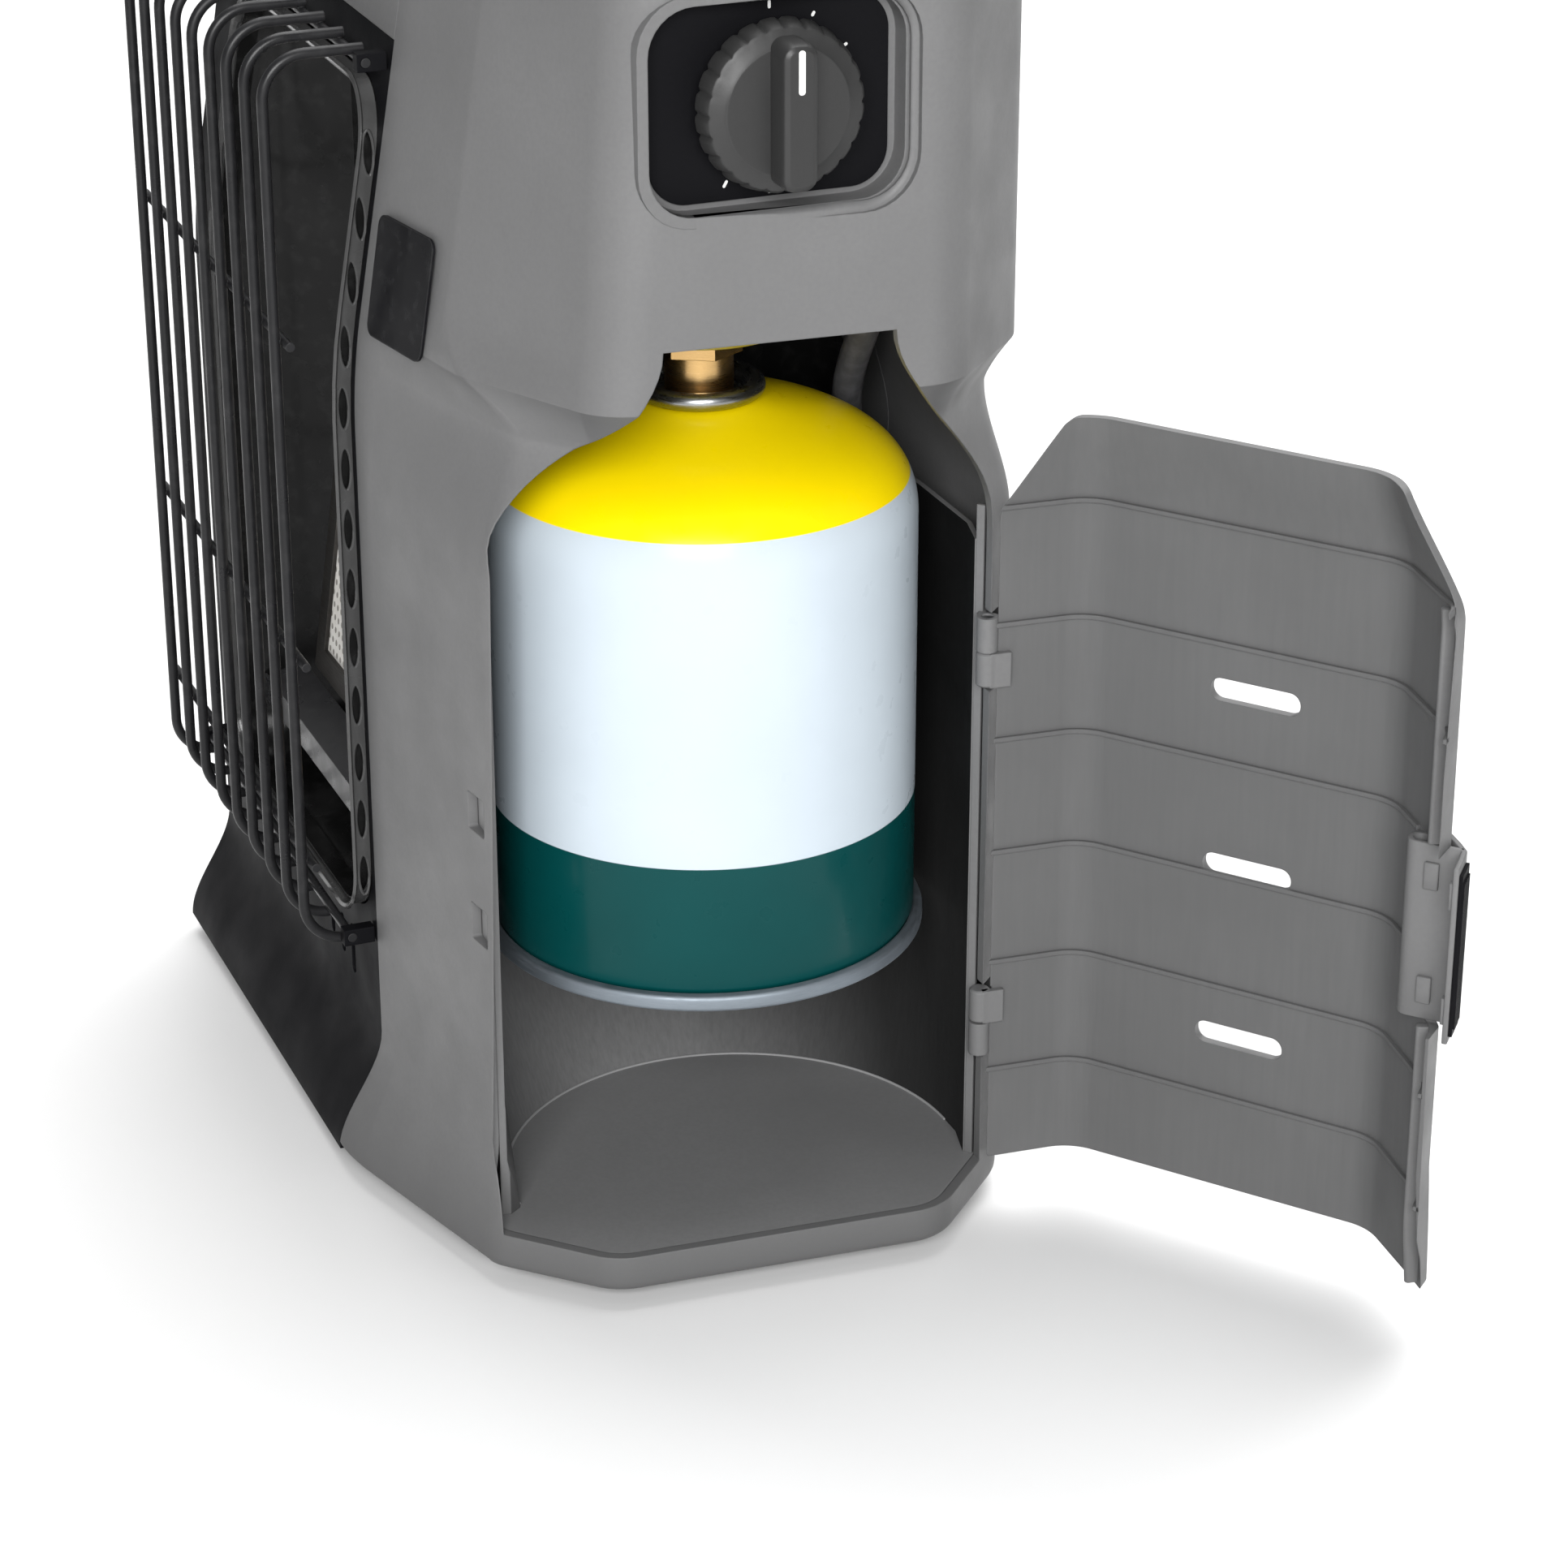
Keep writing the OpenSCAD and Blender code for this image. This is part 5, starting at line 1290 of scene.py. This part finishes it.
def handle_sleeve():
    """Hand grip with rounded ends and finger ribs."""
    low, high = [taken_back(corner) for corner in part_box("handle_grip")]
    length = high.x - low.x
    r = grip_d / 2
    ends = 3.0
    profile = [(handle_wire / 2 + 0.1, 0.0), (r - ends, 0.0)]
    profile += arc(r - ends, ends, ends, -75, 0, 5)
    count = 13
    start, stop = 12.0, length - 12.0
    for i in range(count * 8 + 1):
        t = start + (stop - start) * i / (count * 8)
        dip = 0.45 * (0.5 - 0.5 * cos(2 * pi * i / 8))
        profile.append((r - dip, t))
    profile += arc(r - ends, length - ends, ends, 0, 90, 6)
    profile += [(handle_wire / 2 + 0.1, length)]
    shape = revolve(profile, 64)
    turn = Matrix.Rotation(radians(90), 4, "Y")
    middle = (low + high) / 2
    place = Matrix.Translation((low.x, middle.y, middle.z))
    obj = new_object("handle_sleeve", moved(shape, place @ turn))
    stand_in(obj, "handle_grip", "handle")


def louvres():
    """Pressed hoods over the slots of the rear panel."""
    shapes = []
    n = 12
    hood = arc(0, 0, louvre_r, 0, 180, 9)
    for i in range(louvre_n):
        middle = louvre_first + louvre_pitch * i
        rings = []
        for k in range(n + 1):
            x = -rear_x - louvre_w / 2 + louvre_w * k / n
            swell = sin(pi * min(1, (k + 0.15) / 2, (n + 0.15 - k) / 2) / 2)
            rings.append([(x, rear_d - 0.3 + v * swell, middle + (u if u > 0 else 0.6 * u)) for u, v in hood])
        shapes.append(ring_loft(rings))
    obj = new_object("rear_louvres", joined(*shapes))
    detail(obj, angle=50)


# Stage

def floor():
    size = 6.0
    n = 24
    rows = [[Vector((-size / 2 + size * i / n, -size / 2 + size * j / n, 0.0)) for i in range(n + 1)]
            for j in range(n + 1)]
    mesh = bpy.data.meshes.new("floor")
    points = [p for row in rows for p in row]
    faces = [(j * (n + 1) + i, j * (n + 1) + i + 1, (j + 1) * (n + 1) + i + 1, (j + 1) * (n + 1) + i)
             for j in range(n) for i in range(n)]
    mesh.from_pydata(points, [], faces)
    paint = Paint("floor_paint", roughness=0.85)
    paint.colour(paint.mix(paint.noise(3, 2), (0.8, 0.8, 0.8), (0.79, 0.79, 0.79)))
    mesh.materials.append(paint.material)
    add("floor", mesh)


def lamp(name, place, size, power, target=(0.0, 0.0, 0.15)):
    data = bpy.data.lights.new(name, "AREA")
    data.shape = "RECTANGLE"
    data.size, data.size_y = size
    data.energy = power
    obj = add(name, data)
    obj.location = place
    obj.rotation_euler = (Vector(target) - Vector(place)).to_track_quat("-Z", "Y").to_euler()


def studio():
    world = bpy.data.worlds.new("studio")
    world.use_nodes = True
    sky = world.node_tree.nodes["Background"]
    sky.inputs["Color"].default_value = (1, 1, 1, 1)
    sky.inputs["Strength"].default_value = 0.23
    scene.world = world
    scene.view_settings.view_transform = "Standard"
    lamp("key", (1.85, -0.74, 1.02), (1.3, 0.9), 60)
    lamp("back", (-1.0, 0.75, 1.8), (2.4, 2.4), 68, (-0.7, 0.3, 0.0))
    lamp("top", (-0.2, 0.1, 1.9), (0.9, 0.9), 7)


def camera():
    data = bpy.data.cameras.new("camera")
    data.lens = 96.48
    data.sensor_width = 36.0
    data.clip_start = 0.01
    place, view = (0.933741, -0.367314, 0.55451), (-0.8447, 0.3413, -0.4123)
    obj = add("camera", data)
    obj.location = place
    obj.rotation_euler = Vector(view).to_track_quat("-Z", "Y").to_euler()
    scene.camera = obj


def soften_tube():
    """The gas tube keeps its solid and is drawn smooth."""
    weld = nodes["gas_tube"].modifiers.new("weld", "WELD")
    weld.merge_threshold = 0.00002
    smooth_step = nodes["gas_tube"].modifiers.new("smooth", "SUBSURF")
    smooth_step.levels = 2
    smooth_step.render_levels = 2


for build in (dress_nodes, camera, studio, floor, near_casing, slot_backs, recess_lining, far_casing,
              top_casing, burner_front, bay_wall, bay_fillet, jamb_strip, door_panel, door_barrels,
              door_bead, latch_clip, cartridge, dish, knob, dial_marks, handle_sleeve, louvres,
              soften_tube):
    build()
